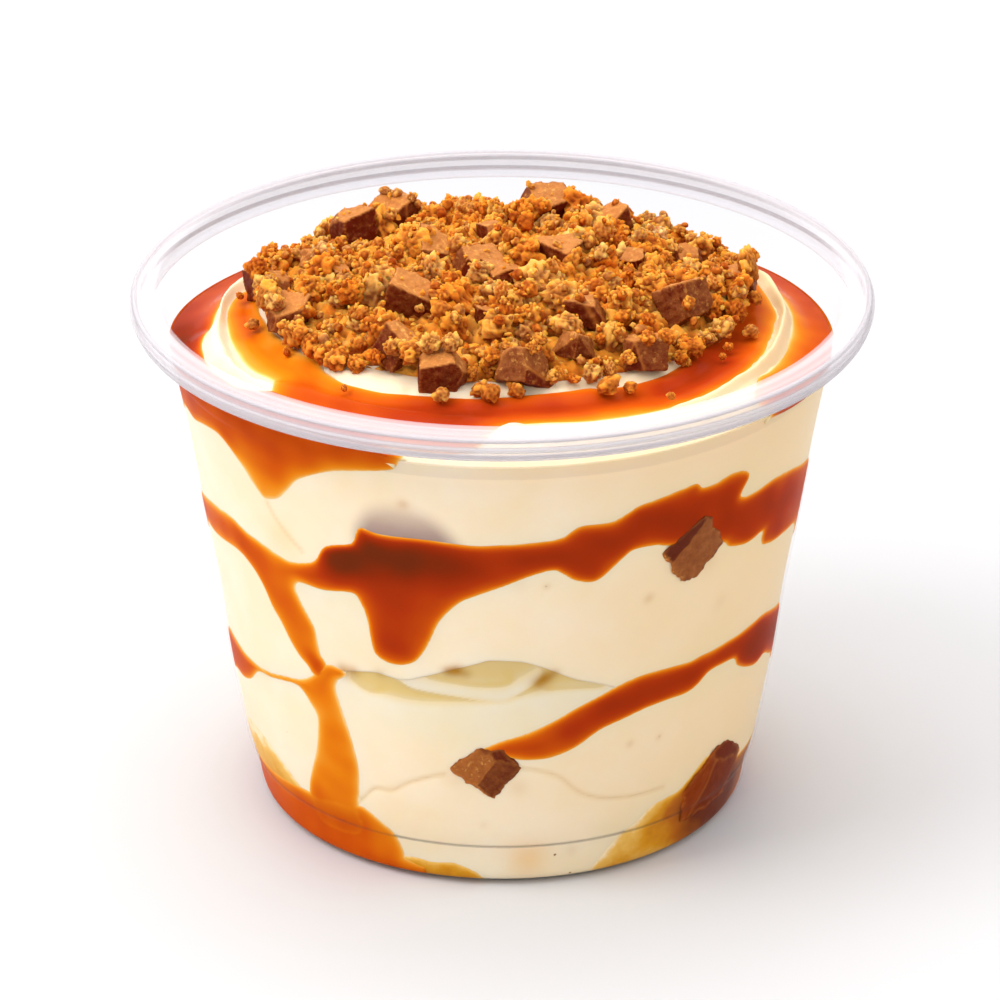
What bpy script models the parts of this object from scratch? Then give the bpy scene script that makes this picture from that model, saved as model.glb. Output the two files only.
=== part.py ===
"""Tiramisu dessert layered in a clear thermoformed cup, with a caramel swirl and a heap of crumbs on top.

Metres, +Z up, origin on the table under the middle of the cup. An angle round the cup is in degrees:
0 is the front (-Y) and +90 the right side (+X). A layer is the space between two wavy surfaces, and each
surface is given by the line that it draws on the wall, as (angle, height in mm) points.
"""

import math
import random

import bmesh
import bpy
import numpy as np
from mathutils import Euler, Matrix, Vector

MM = 0.001

# The cup.
CUP_HEIGHT = 70.5 * MM
RIM_RADIUS = 47.5 * MM
RIM_INNER_RADIUS = 43.9 * MM
RIM_DEPTH = 3.9 * MM
RIM_ROUNDING = 0.9 * MM
RIM_EDGE = 0.3 * MM  # small rounding of the rim's other edges
RIM_CURL_RADIUS = 45.0 * MM  # where the underside of the rim turns in to the wall
RIM_TUCK = 0.2 * MM
WALL_THICKNESS = 0.6 * MM
FLOOR_THICKNESS = 0.6 * MM
FLOOR_RAISE = 0.6 * MM
FOOT_WIDTH = 3.6 * MM
STEP_HEIGHT = 6.65 * MM
CUP_SIDES = 56
# (height, outer radius) of the base in mm: a rounded foot, then nearly straight up to the stacking step.
BASE_PROFILE = ((0.0, 30.6), (0.5, 31.5), (1.5, 32.1), (6.3, 32.9))
# (height, outer radius) of the wall in mm, from the stacking step to the underside of the rim.
WALL_PROFILE = (
    (6.65, 33.5), (13.0, 34.65), (20.0, 35.8), (30.0, 37.12), (42.0, 39.09), (54.0, 40.96),
    (62.3, 42.6), (66.5, 43.5),
)

WALL_BENDS = np.array([62.3, 42, 20]) * MM  # heights where the nearly straight wall bends a little

# The layers.
GAP = 0.3 * MM  # between any two pieces
THINNEST = 0.35 * MM  # a layer ends where it would be thinner
SIDE_MARGIN = 0.05  # share of a side's height that its extra rows keep from its ends
FRONT_STEP = 4.0  # degrees between sections on the front half
BACK_STEP = 22.0
# Share of the wall's radius at each ring of a layer, and how far the wall's line is followed there.
RING_RADII = (0.0, 0.80, 0.93, 1.0)
RING_FOLLOWS = (0.0, 0.12, 0.42, 1.0)
FLOOR_LEVEL = FLOOR_RAISE + FLOOR_THICKNESS + GAP
INSIDE_LEVELS = {  # height of each surface in the middle of the cup
    "pool_top": 3.6 * MM,
    "sponge_top": 9.0 * MM,
    "lower_caramel_bottom": 23.6 * MM,
    "lower_caramel_top": 26.8 * MM,
    "middle_caramel_bottom": 47.6 * MM,
    "middle_caramel_top": 51.0 * MM,
}
# Where each surface meets the wall, as (angle, height in mm).
POOL_TOP = (
    (-180, 4.0), (-100, 6.0), (-62, 7.6), (-46, 9.6), (-36, 9.9), (-30, 9.0), (-25, 6.4),
    (-22, 1.4), (24, 1.4), (36, 2.6), (60, 4.2), (120, 4.0),
)
SPONGE_TOP = (
    (-180, 9.0), (-120, 9.5), (-80, 11.4), (-66, 12.9), (-57, 11.8), (-50, 9.6), (-46, 9.6),
    (-36, 9.9), (-30, 9.0), (-25, 6.4), (-22, 3.4), (-10, 3.0), (-5, 1.4), (20, 1.4), (24, 5.0),
    (32, 11.6), (42, 12.4), (50, 15.0), (58, 13.8), (70, 9.4), (120, 9.0),
)
LOWER_CARAMEL_BOTTOM = (
    (-180, 22.0), (-100, 18.4), (-80, 18.8), (-70, 20.2), (-58, 24.2), (-47, 25.6), (-44, 22.0),
    (-40, 10.8), (-36, 10.8), (-32, 14.0), (-28, 29.8), (-4, 21.4), (6, 20.2), (12, 20.8),
    (25, 24.7), (32, 25.7), (42, 26.1), (46, 27.6), (53, 27.6), (60, 24.4), (70, 23.3), (92, 18.0),
)
LOWER_CARAMEL_TOP = (
    (-180, 26.0), (-100, 23.6), (-80, 24.6), (-58, 24.6), (-47, 26.5), (-42, 27.7), (-38, 30.2),
    (-32, 30.7), (-28, 29.8), (-4, 21.8), (0, 23.2), (10, 26.0), (20, 29.2), (25, 30.4),
    (45, 30.7), (65, 30.8), (80, 28.0), (92, 25.0),
)
MIDDLE_CARAMEL_BOTTOM = (
    (-180, 43.0), (-92, 37.4), (-80, 39.8), (-60, 42.0), (-55, 41.2), (-48, 34.6), (-43, 30.6),
    (-40, 30.8), (-36, 42.2), (-30, 42.9), (-27.5, 42.0), (-24, 34.0), (-20, 33.4), (-16, 35.0),
    (-11, 41.3), (-6, 44.8), (9, 48.7), (16, 46.4), (24, 50.2), (30, 50.2), (44, 46.8),
    (51, 45.4), (57, 45.2), (62, 42.6), (70, 41.8), (92, 35.6),
)
MIDDLE_CARAMEL_TOP = (
    (-180, 47.0), (-92, 42.6), (-80, 44.8), (-62, 46.4), (-42, 44.9), (-37, 46.0), (-33, 49.4),
    (-28, 50.4), (-24, 52.5), (-5, 52.1), (9, 53.2), (14, 54.9), (19, 55.0), (24, 56.7),
    (34, 57.8), (38, 56.8), (44, 57.3), (48, 56.0), (51, 52.9), (60, 52.8), (80, 49.0), (92, 45.6),
)
CREAM_TOP = (
    (-180, 60.0), (-120, 57.0), (-80, 56.6), (-62, 59.0), (-56, 58.4), (-50, 54.8), (-46.5, 53.1),
    (-42, 54.6), (-35, 59.0), (-24, 61.8), (-16, 64.2), (-12, 64.6), (48, 64.6), (60, 63.2),
    (120, 62.0),
)

# The top: caramel rings lying in the grooves of the piped cream.
RING_LEVEL = 64.9 * MM  # the outer caramel ring at the wall
RING_WIDTH = 4.2 * MM
RING_BEND = 0.4  # share of the ring's width, from the wall, where the cream under it turns down the wall
RING_SAG = 0.55  # how far up the cream has risen there, from the wall's line to the groove
RING_START = 52.0  # degrees; it runs from here round the back
RING_END = -14.0
RING_LIP = 0.5 * MM
# Rings of the top cream: share of the radius at which each meets its underside.
TOP_RING_SHARES = (0.0, 0.60, 0.70, 0.75, 0.80, 0.865, 0.93, 0.965, 1.0)
GROOVE_LEVEL = 65.5 * MM
GROOVE_EDGES = (0.9 * MM, 0.4 * MM)  # how far the swirl's groove has risen at its inner and outer edge
RING_GROOVE_LEVEL = 64.9 * MM
RIDGE_LEVEL = 66.7 * MM
RIDGE_WIDTH = 2.5 * MM
CENTRE_LEVEL = 67.5 * MM
SWIRL_START = -112.0
SWIRL_END = 124.0
SWIRL_THICKNESS = 1.1 * MM
SWIRL_SECTION = (0.4, 1.0, 0.4)  # of its thickness, from its inner edge to its outer edge
# (angle, inner radius) and (angle, outer radius) of the swirl in mm.
SWIRL_INSIDE = (
    (-180, 29.0), (-90, 30.6), (-45, 30.6), (0, 27.4), (30, 26.6), (60, 27.0), (90, 31.0), (130, 31.5),
)
SWIRL_OUTSIDE = (
    (-180, 34.0), (-90, 34.8), (-45, 35.2), (0, 33.4), (30, 33.8), (60, 33.0), (90, 35.4), (130, 35.6),
)

# The heap of crumbs and chocolate chunks: an oval dome.
HEAP_CENTRE = (0.0, 1.0 * MM)
HEAP_HALVES = (31.4 * MM, 27.6 * MM)  # half its width and half its depth
HEAP_BOTTOM = CENTRE_LEVEL + GAP / 2
HEAP_SHOULDER = 69.6 * MM
HEAP_TOP = 72.0 * MM
HEAP_CORE_SIDES = 24
HEAP_CORE_SHARES = (0.88, 0.6)  # of the heap's radius: the core's edge, and where its top flattens
CRUMBS = 64
CRUMB_SIZES = (4.6 * MM, 7.2 * MM)
CRUMB_STRETCH = (0.75, 1.15)  # of its size, along each axis
CRUMB_ROUGHNESS = (0.8, 1.15)  # of its size, at each corner
CRUMB_LIFT = 0.1  # share of its size that a crumb's middle stands above the core
GOLDEN_ANGLE = 2.39996
CHUNK_SPREAD = 0.14  # share of its size that a chunk's corners are moved by
CHUNK_TILT = 18.0
SEED = 7
# Chunks in the heap: middle x, y, z, then width, deep, tall in mm and the turn about +Z in degrees.
HEAP_CHUNKS = (
    (-30.0, 2.8, 69.2, 5.0, 5.4, 3.8, 20), (-27.0, -7.7, 69.6, 6.4, 5.6, 3.6, -25),
    (-19.3, 13.6, 71.4, 5.6, 5.6, 5.2, 35), (-12.9, -20.3, 70.0, 4.8, 5.0, 5.4, 50),
    (-11.3, -9.8, 72.0, 6.6, 5.4, 4.6, -15), (-13.5, 18.4, 72.0, 6.6, 5.6, 5.6, 40),
    (-8.2, 4.3, 72.6, 4.2, 5.2, 3.8, 10), (-3.1, -0.4, 72.6, 7.2, 5.0, 3.6, 30),
    (0.2, -3.6, 72.7, 5.8, 5.4, 2.6, 25), (-7.3, -24.6, 69.8, 6.8, 5.2, 5.2, 5),
    (2.2, -24.4, 69.6, 6.0, 5.2, 5.0, -20), (5.2, 19.4, 72.6, 6.8, 5.8, 5.0, 15),
    (7.0, 2.2, 72.6, 5.0, 5.6, 4.8, -35), (14.3, 16.6, 71.4, 4.6, 5.2, 4.0, 30),
    (10.2, -13.6, 71.8, 4.8, 5.2, 3.8, -10), (9.2, -19.8, 70.8, 4.2, 4.6, 3.4, 25),
    (17.6, -19.6, 69.8, 7.0, 5.0, 4.6, -5), (23.0, -8.6, 70.4, 5.6, 5.6, 5.4, 45),
    (30.2, 2.8, 69.6, 5.6, 5.6, 4.2, -20),
)

# Chocolate chunks pressed against the wall: (name, angle, height, width, tall, deep, roll in degrees), mm.
WALL_CHUNKS = (
    ("chocolate_chunk_front", -4.6, 17.4, 9.6, 5.8, 6.0, 10.0),
    ("chocolate_chunk_right", 37.0, 48.3, 7.4, 6.6, 5.5, 40.0),
    ("chocolate_chunk_left", -19.0, 51.2, 15.0, 9.0, 6.0, 4.0),
    ("chocolate_chunk_base", 55.0, 11.6, 9.0, 5.6, 6.0, -8.0),
)
CHUNK_SETBACK = 0.25 * MM
WALL_CHUNK_SPREAD = 0.07
ROOM_MARGIN = 1.2 * GAP  # how far the room for a chunk stands off it
ROOM_REACH = 4.0 * MM  # how much farther it reaches towards the wall
# The pieces that a wall chunk may stand in.
ROOMED = ("sponge_base", "cream_lower", "caramel_lower", "cream_middle", "caramel_middle", "cream_upper")

COLOURS = {  # linear RGB, roughness
    "clear_plastic": ((0.86, 0.88, 0.90), 0.05),
    "cream": ((0.93, 0.80, 0.58), 0.5),
    "caramel": ((0.52, 0.12, 0.01), 0.15),
    "sponge": ((0.72, 0.42, 0.12), 0.8),
    "crumbs": ((0.60, 0.28, 0.06), 0.8),
    "chocolate": ((0.16, 0.05, 0.02), 0.5),
}


def smooth_curve(points, at, period=None):
    """A curve through (place, value) points, cubic between them and level where it turns."""
    place, value = np.array(points, float).T
    if period:
        place = np.concatenate([place[-2:] - period, place, place[:2] + period])
        value = np.concatenate([value[-2:], value, value[:2]])
    width = np.diff(place)
    rise = np.diff(value) / width
    before, after = rise[:-1], rise[1:]
    turns = before * after <= 0
    mean = 2 * before * after / np.where(turns, 1, before + after)
    slope = np.concatenate([rise[:1], np.where(turns, 0, mean), rise[-1:]])
    piece = np.clip(np.searchsorted(place, at) - 1, 0, len(width) - 1)
    t = (at - place[piece]) / width[piece]
    start, end = value[piece], value[piece + 1]
    start_slope, end_slope = slope[piece] * width[piece], slope[piece + 1] * width[piece]
    return (
        start * (1 + 2 * t) * (1 - t) ** 2
        + start_slope * t * (1 - t) ** 2
        + end * (3 - 2 * t) * t ** 2
        - end_slope * (1 - t) * t ** 2
    )


def wall_line(points, angles):
    """Heights in metres of a line round the wall."""
    return MM * smooth_curve(points, angles, period=360)


def outer_radius(height):
    """Radius of the cup's outside; below the step the base is narrower."""
    wall = smooth_curve(WALL_PROFILE, np.maximum(height, STEP_HEIGHT) / MM)
    base = np.interp(np.asarray(height) / MM, *np.array(BASE_PROFILE).T)
    return MM * np.where(height < STEP_HEIGHT, base, wall)


def inner_radius(height):
    """Radius of the cup's inside, whose step is a wall's thickness higher than the outside's."""
    wall = outer_radius(np.maximum(height, STEP_HEIGHT + WALL_THICKNESS))
    base = outer_radius(np.maximum(height - WALL_THICKNESS, 0))
    return np.where(height < STEP_HEIGHT + WALL_THICKNESS, base, wall) - WALL_THICKNESS


def food_radius(height):
    """Radius that the food reaches, a gap inside the wall."""
    return inner_radius(height) - GAP


def section_angles():
    front = np.arange(-92.0, 92.1, FRONT_STEP)
    back = np.arange(92.0 + BACK_STEP, 268.0 - BACK_STEP / 2, BACK_STEP)
    return np.concatenate([front, back])


ANGLES = section_angles()


def wrapped(angles):
    """Angles brought to -180..180."""
    return (angles + 180) % 360 - 180


def collection(name):
    made = bpy.data.collections.new(name)
    bpy.context.scene.collection.children.link(made)
    return made


def material(name):
    colour, roughness = COLOURS[name]
    made = bpy.data.materials.get(name) or bpy.data.materials.new(name)
    made.use_nodes = True
    shader = made.node_tree.nodes["Principled BSDF"]
    shader.inputs["Base Color"].default_value = (*colour, 1)
    shader.inputs["Roughness"].default_value = roughness
    shader.inputs["Metallic"].default_value = 0
    return made


def add_object(name, mesh, finish, into):
    mesh.materials.append(material(finish))
    made = bpy.data.objects.new(name, mesh)
    into.objects.link(made)
    return made


def cup_profile():
    """(radius, height) points from the floor's middle up the inside, over the rim and down the outside."""
    floor_top = FLOOR_RAISE + FLOOR_THICKNESS
    rim_bottom = CUP_HEIGHT - RIM_DEPTH
    foot_radius = BASE_PROFILE[0][1] * MM
    base = np.array([z for z, _ in BASE_PROFILE[::-1]]) * MM
    inside = [*(base[1::-1] + WALL_THICKNESS), STEP_HEIGHT + WALL_THICKNESS, *WALL_BENDS[::-1]]
    outside = [rim_bottom - RIM_TUCK, *WALL_BENDS, STEP_HEIGHT, *base]
    return [
        (0, floor_top),
        (inner_radius(floor_top), floor_top),
        *[(inner_radius(z), z) for z in inside],
        (RIM_INNER_RADIUS - RIM_EDGE, CUP_HEIGHT - RIM_EDGE),
        (RIM_INNER_RADIUS, CUP_HEIGHT),
        (RIM_RADIUS - RIM_ROUNDING, CUP_HEIGHT),
        (RIM_RADIUS, CUP_HEIGHT - RIM_ROUNDING),
        (RIM_RADIUS, rim_bottom + 2 * RIM_ROUNDING),
        (RIM_RADIUS - RIM_ROUNDING, rim_bottom + RIM_EDGE),
        (RIM_CURL_RADIUS, rim_bottom),
        *[(outer_radius(z), z) for z in outside],
        (foot_radius - FOOT_WIDTH, 0),
        (foot_radius - FOOT_WIDTH - FLOOR_RAISE, FLOOR_RAISE),
        (0, FLOOR_RAISE),
    ]


def make_cup(into):
    profile = cup_profile()
    points = [(float(r), 0, float(z)) for r, z in profile]
    mesh = bpy.data.meshes.new("cup")
    mesh.from_pydata(points, [(i, i + 1) for i in range(len(points) - 1)], [])
    cup = add_object("cup", mesh, "clear_plastic", into)
    screw = cup.modifiers.new("turned", "SCREW")
    screw.steps = screw.render_steps = CUP_SIDES
    screw.use_merge_vertices = True
    screw.merge_threshold = 1e-5
    screw.use_smooth_shade = True
    return cup


def layer_surface(line, inside_level):
    """Grid of points, sections by rings, of the surface that meets the wall along this line."""
    reach = food_radius(line)
    radius = reach[:, None] * np.array(RING_RADII)
    height = inside_level + (line - inside_level)[:, None] * np.array(RING_FOLLOWS)
    return on_sections(radius, height)


def on_sections(radius, height):
    """Points at this radius and height on each section's angle."""
    turn = np.radians(ANGLES)[:, None]
    return np.stack([radius * np.sin(turn), -radius * np.cos(turn), height], -1)


def add_quad(faces, a, b, c, d, downwards=False):
    """Two triangles, always split from a to c, so that two surfaces over the same grid stay parallel."""
    faces += [(c, b, a), (d, c, a)] if downwards else [(a, b, c), (a, c, d)]


def side_row(bottom, top, share):
    """Points of a slab's side at the wall: at the cup's step, or at this share of the way up from it."""
    low, high = bottom[:, -1, 2], top[:, -1, 2]
    margin = SIDE_MARGIN * (high - low)
    step = np.clip(STEP_HEIGHT + WALL_THICKNESS / 2, low + margin, high - margin)
    height = step + share * (high - step)
    return on_sections(food_radius(height)[:, None], height[:, None])[:, 0]


def side_faces(left, right):
    """Faces between two columns of points listed upwards: pairs of triangles, or one flat polygon."""
    if len(left) != len(right):
        return [(*right, *left[::-1])]
    faces = []
    for k in range(len(left) - 1):
        add_quad(faces, left[k], right[k], right[k + 1], left[k + 1])
    return faces


def slab(name, bottom, top, keep=None, side_rows=0):
    """A closed solid between two grids of points, over the cells that are thick enough and wanted by keep.

    side_rows more rows of points let a tall side follow the wall's bend."""
    sections, rings = bottom.shape[:2]
    thick = (top - bottom)[..., 2] > THINNEST
    if keep is not None:
        thick &= keep
    following = np.roll(thick, -1, axis=0)
    cells = thick[:, :-1] & thick[:, 1:] & following[:, :-1] & following[:, 1:]
    count = sections * rings
    rows = [side_row(bottom, top, k / side_rows) for k in range(side_rows)]
    from_middle = np.hypot(*bottom[0, 0, :2]) == 0

    def column(section, ring):
        """Indices of the points of this section and ring, from the bottom up."""
        low = section % sections * rings + ring
        if ring < rings - 1:
            return (low, low + count)
        between = [2 * count + k * sections + section % sections for k in range(side_rows)]
        return (low, *between, low + count)

    faces = []
    for i, j in np.argwhere(cells):
        columns = [column(i, j), column(i, j + 1), column(i + 1, j + 1), column(i + 1, j)]
        add_quad(faces, *[c[-1] for c in columns])
        add_quad(faces, *[c[0] for c in columns], downwards=True)
        neighbours = (
            cells[i - 1, j],
            j + 2 < rings and cells[i, j + 1],
            cells[(i + 1) % sections, j],
            from_middle if j == 0 else cells[i, j - 1],
        )
        for side, joined in enumerate(neighbours):
            if not joined:
                faces += side_faces(columns[(side + 1) % 4], columns[side])
    return closed_mesh(name, np.concatenate([bottom.reshape(-1, 3), top.reshape(-1, 3), *rows]), faces)


def closed_mesh(name, points, faces):
    """A mesh of these faces, with the points at the middle merged and all faces pointing out."""
    solid = bmesh.new()
    corners = [solid.verts.new(point) for point in points]
    for face in faces:
        solid.faces.new([corners[k] for k in face])
    bmesh.ops.delete(solid, geom=[v for v in solid.verts if not v.link_faces], context="VERTS")
    bmesh.ops.remove_doubles(solid, verts=solid.verts, dist=1e-7)
    bmesh.ops.recalc_face_normals(solid, faces=solid.faces)
    mesh = bpy.data.meshes.new(name)
    solid.to_mesh(mesh)
    solid.free()
    return mesh


def raised(surface, by):
    return surface + np.array([0, 0, by])


def make_layers(into):
    """The layers under the top, lowest first. No surface dips through the one under it.

    Returns the surface under the top cream."""
    lines = {
        "pool_top": POOL_TOP,
        "sponge_top": SPONGE_TOP,
        "lower_caramel_bottom": LOWER_CARAMEL_BOTTOM,
        "lower_caramel_top": LOWER_CARAMEL_TOP,
        "middle_caramel_bottom": MIDDLE_CARAMEL_BOTTOM,
        "middle_caramel_top": MIDDLE_CARAMEL_TOP,
    }
    surfaces = {}
    below = np.full(len(ANGLES), FLOOR_LEVEL - GAP / 2)
    for name, points in lines.items():
        below = np.maximum(wall_line(points, wrapped(ANGLES)), below)
        surfaces[name] = layer_surface(below, INSIDE_LEVELS[name])
    floor = layer_surface(np.full(len(ANGLES), FLOOR_LEVEL - GAP / 2), FLOOR_LEVEL - GAP / 2)
    stack = (
        ("caramel_pool", floor, surfaces["pool_top"], "caramel", 1),
        ("sponge_base", surfaces["pool_top"], surfaces["sponge_top"], "sponge", 1),
        ("cream_lower", surfaces["sponge_top"], surfaces["lower_caramel_bottom"], "cream", 2),
        ("caramel_lower", surfaces["lower_caramel_bottom"], surfaces["lower_caramel_top"], "caramel", 0),
        ("cream_middle", surfaces["lower_caramel_top"], surfaces["middle_caramel_bottom"], "cream", 1),
        ("caramel_middle", surfaces["middle_caramel_bottom"], surfaces["middle_caramel_top"], "caramel", 0),
    )
    for name, bottom, top, finish, side_rows in stack:
        shape = slab(name, raised(bottom, GAP / 2), raised(top, -GAP / 2), side_rows=side_rows)
        add_object(name, shape, finish, into)
    return surfaces["middle_caramel_top"]


def on_ring(angles):
    """Which sections the outer caramel ring covers: from its start round the back to its end."""
    return (angles >= RING_START) | (angles <= RING_END)


def cream_top_surface(angles):
    """The piped cream's top: a raised middle, the swirl's groove, a ridge, and a groove along the wall."""
    swirl_inside, swirl_outside = wall_line(SWIRL_INSIDE, angles), wall_line(SWIRL_OUTSIDE, angles)
    line = wall_line(CREAM_TOP, angles)
    reach = food_radius(line)
    ring_inside = reach - RING_WIDTH
    inner_edge, outer_edge = GROOVE_EDGES
    covered = on_ring(angles)
    under_ring = line + RING_SAG * (GROOVE_LEVEL - line)
    rings = (  # radius and height from the middle outwards
        (0 * reach, CENTRE_LEVEL),
        (swirl_inside - RIDGE_WIDTH, CENTRE_LEVEL),
        (swirl_inside, GROOVE_LEVEL + inner_edge),
        ((swirl_inside + swirl_outside) / 2, GROOVE_LEVEL),
        (swirl_outside, GROOVE_LEVEL + outer_edge),
        ((swirl_outside + ring_inside) / 2, RIDGE_LEVEL),
        (ring_inside, np.where(covered, RING_GROOVE_LEVEL, GROOVE_LEVEL + outer_edge)),
        (reach - RING_BEND * RING_WIDTH, np.where(covered, under_ring, GROOVE_LEVEL)),
        (reach, line),
    )
    radius = np.stack([ring[0] for ring in rings], 1)
    height = np.stack([np.broadcast_to(ring[1], len(angles)) for ring in rings], 1)
    return on_sections(radius, height)


def spread_rings(surface, shares):
    """The surface read at other shares of its radius, straight between its own rings."""
    read = [[np.interp(shares, RING_RADII, axis) for axis in section.T] for section in surface]
    return np.array(read).transpose(0, 2, 1)


def make_top(cream_bottom, into):
    """The top cream, with the caramel ring and the caramel swirl that lie on it."""
    angles = wrapped(ANGLES)
    surface = cream_top_surface(angles)
    bottom = spread_rings(cream_bottom, TOP_RING_SHARES)
    shape = slab("cream_upper", raised(bottom, GAP / 2), raised(surface, -GAP / 2), side_rows=1)
    add_object("cream_upper", shape, "cream", into)
    add_object("caramel_ring", caramel_ring(surface, angles), "caramel", into)
    add_object("caramel_swirl", caramel_swirl(surface, angles), "caramel", into)


def caramel_ring(surface, angles):
    """The outer caramel ring: it lies in the groove along the wall and runs down the wall at the left."""
    bottom = raised(surface[:, 6:], GAP / 2)  # from the ridge's outer foot to the wall
    level = np.full(len(angles), RING_LEVEL)
    inner_radius = np.hypot(bottom[:, 0, 0], bottom[:, 0, 1])
    reach = food_radius(level)
    radius = np.stack([inner_radius, (inner_radius + reach) / 2, reach], 1)
    height = np.stack([bottom[:, 0, 2] + RING_LIP, level + RING_LIP, level], 1)
    keep = np.repeat(on_ring(angles)[:, None], 3, axis=1)
    return slab("caramel_ring", bottom, on_sections(radius, height), keep)


def caramel_swirl(surface, angles):
    """The caramel swirl in its groove, thick in the middle and thin at both edges."""
    bottom = raised(surface[:, 2:5], GAP / 2)  # the three rings of its groove
    top = bottom.copy()
    top[..., 2] += SWIRL_THICKNESS * np.array(SWIRL_SECTION)
    covered = (angles >= SWIRL_START) & (angles <= SWIRL_END)
    return slab("caramel_swirl", bottom, top, np.repeat(covered[:, None], 3, axis=1))


def apply_modifiers(piece):
    """Makes the evaluated mesh the piece's own."""
    graph = bpy.context.evaluated_depsgraph_get()
    evaluated = bpy.data.meshes.new_from_object(piece.evaluated_get(graph))
    piece.modifiers.clear()
    piece.data = evaluated


def keep_largest(piece):
    """Drops the loose scraps that a cut or a union leaves."""
    solid = bmesh.new()
    solid.from_mesh(piece.data)
    left, islands = set(solid.verts), []
    while left:
        island, edge = set(), {left.pop()}
        while edge:
            island |= edge
            edge = {e.other_vert(v) for v in edge for e in v.link_edges} - island
        left -= island
        islands.append(island)
    largest = max(islands, key=len)
    bmesh.ops.delete(solid, geom=[v for v in solid.verts if v not in largest], context="VERTS")
    solid.to_mesh(piece.data)
    solid.free()


def chunk_mesh(name, size, spread, chance):
    """A broken block: a cube whose corners are moved by up to a share of its size."""
    solid = bmesh.new()
    bmesh.ops.create_cube(solid, size=1)
    for corner in solid.verts:
        moved = [1 + chance.uniform(-spread, spread) for _ in range(3)]
        corner.co = Vector([c * s * m for c, s, m in zip(corner.co, size, moved)])
    bmesh.ops.triangulate(solid, faces=solid.faces)
    mesh = bpy.data.meshes.new(name)
    solid.to_mesh(mesh)
    solid.free()
    return mesh


def crumb_mesh(name, size, chance):
    """A rough crumb: a 20-sided ball with its corners moved in and out."""
    solid = bmesh.new()
    bmesh.ops.create_icosphere(solid, subdivisions=1, radius=0.5)
    stretch = Vector([chance.uniform(*CRUMB_STRETCH) for _ in range(3)])
    for corner in solid.verts:
        corner.co = corner.co * stretch * size * chance.uniform(*CRUMB_ROUGHNESS)
    mesh = bpy.data.meshes.new(name)
    solid.to_mesh(mesh)
    solid.free()
    return mesh


def wall_place(angle, height, size, roll):
    """Matrix of a block that leans against the wall: local X along the wall, Y towards the middle, Z up."""
    turn = math.radians(angle)
    touching = float(food_radius(height))
    lean = math.atan2(float(food_radius(height + size.z / 2)) - touching, size.z / 2)
    half_span = max(size.x, size.z) / 2
    behind_curve = half_span ** 2 / (2 * touching)  # a flat face's middle stands this far off a round wall
    reach = touching - behind_curve - CHUNK_SETBACK - size.y / 2
    place = Matrix.Translation((reach * math.sin(turn), -reach * math.cos(turn), height))
    leaning = Matrix.Rotation(turn, 4, "Z") @ Matrix.Rotation(lean, 4, "X")
    return place @ leaning @ Matrix.Rotation(math.radians(roll), 4, "Y")


def make_wall_chunks(into, cutters):
    """The chocolate chunks at the wall, each with a larger cutter that makes room for it in the layers."""
    chance = random.Random(SEED)
    for name, angle, height, width, tall, deep, roll in WALL_CHUNKS:
        size = Vector((width, deep, tall)) * MM
        piece = add_object(name, chunk_mesh(name, size, WALL_CHUNK_SPREAD, chance), "chocolate", into)
        place = wall_place(angle, height * MM, size, roll)
        piece.data.transform(place)
        cutter = bpy.data.objects.new(name + "_room", piece.data.copy())
        cutters.objects.link(cutter)
        grow_room(cutter.data, place)
        cutter.hide_render = True
        cutter.display_type = "WIRE"


def grow_room(mesh, place):
    """Makes a chunk's copy its room: corners are pushed out along the chunk's sides, and to the wall."""
    back = place.inverted()
    for corner in mesh.vertices:
        local = back @ corner.co
        for axis in range(3):
            local[axis] += math.copysign(ROOM_MARGIN, local[axis])
        if local.y < 0:
            local.y -= ROOM_REACH
        corner.co = place @ local


def cut_rooms(names, cutters):
    for name in names:
        piece = bpy.data.objects[name]
        cut = piece.modifiers.new("room for chocolate", "BOOLEAN")
        cut.operation = "DIFFERENCE"
        cut.operand_type = "COLLECTION"
        cut.collection = cutters
        cut.solver = "EXACT"
        apply_modifiers(piece)
        keep_largest(piece)


def heap_height(share):
    """Height of the heap's core at this share of its radius: a low dome."""
    return HEAP_SHOULDER + (HEAP_TOP - HEAP_SHOULDER) * (1 - share ** 3)


def heap_place(share, turn):
    """Where this share of the oval heap's radius lies in plan, in this direction."""
    half_width, half_depth = HEAP_HALVES
    return (
        HEAP_CENTRE[0] + share * half_width * math.cos(turn),
        HEAP_CENTRE[1] + share * half_depth * math.sin(turn),
    )


def heap_core():
    """The flat-bottomed dome that the pieces of the heap are joined to."""
    solid = bmesh.new()
    turns = [math.tau * k / HEAP_CORE_SIDES for k in range(HEAP_CORE_SIDES)]
    edge, shoulder = HEAP_CORE_SHARES
    levels = ((edge, HEAP_BOTTOM), (edge, heap_height(edge)), (shoulder, heap_height(shoulder)))
    rings = [
        [solid.verts.new((*heap_place(share, turn), height)) for turn in turns] for share, height in levels
    ]
    for low, high in zip(rings, rings[1:]):
        for k in range(HEAP_CORE_SIDES):
            solid.faces.new((low[k - 1], low[k], high[k], high[k - 1]))
    solid.faces.new(rings[0])
    solid.faces.new(rings[-1])
    bmesh.ops.recalc_face_normals(solid, faces=solid.faces)
    bmesh.ops.triangulate(solid, faces=solid.faces)
    mesh = bpy.data.meshes.new("crumb_topping")
    solid.to_mesh(mesh)
    solid.free()
    return mesh


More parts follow.
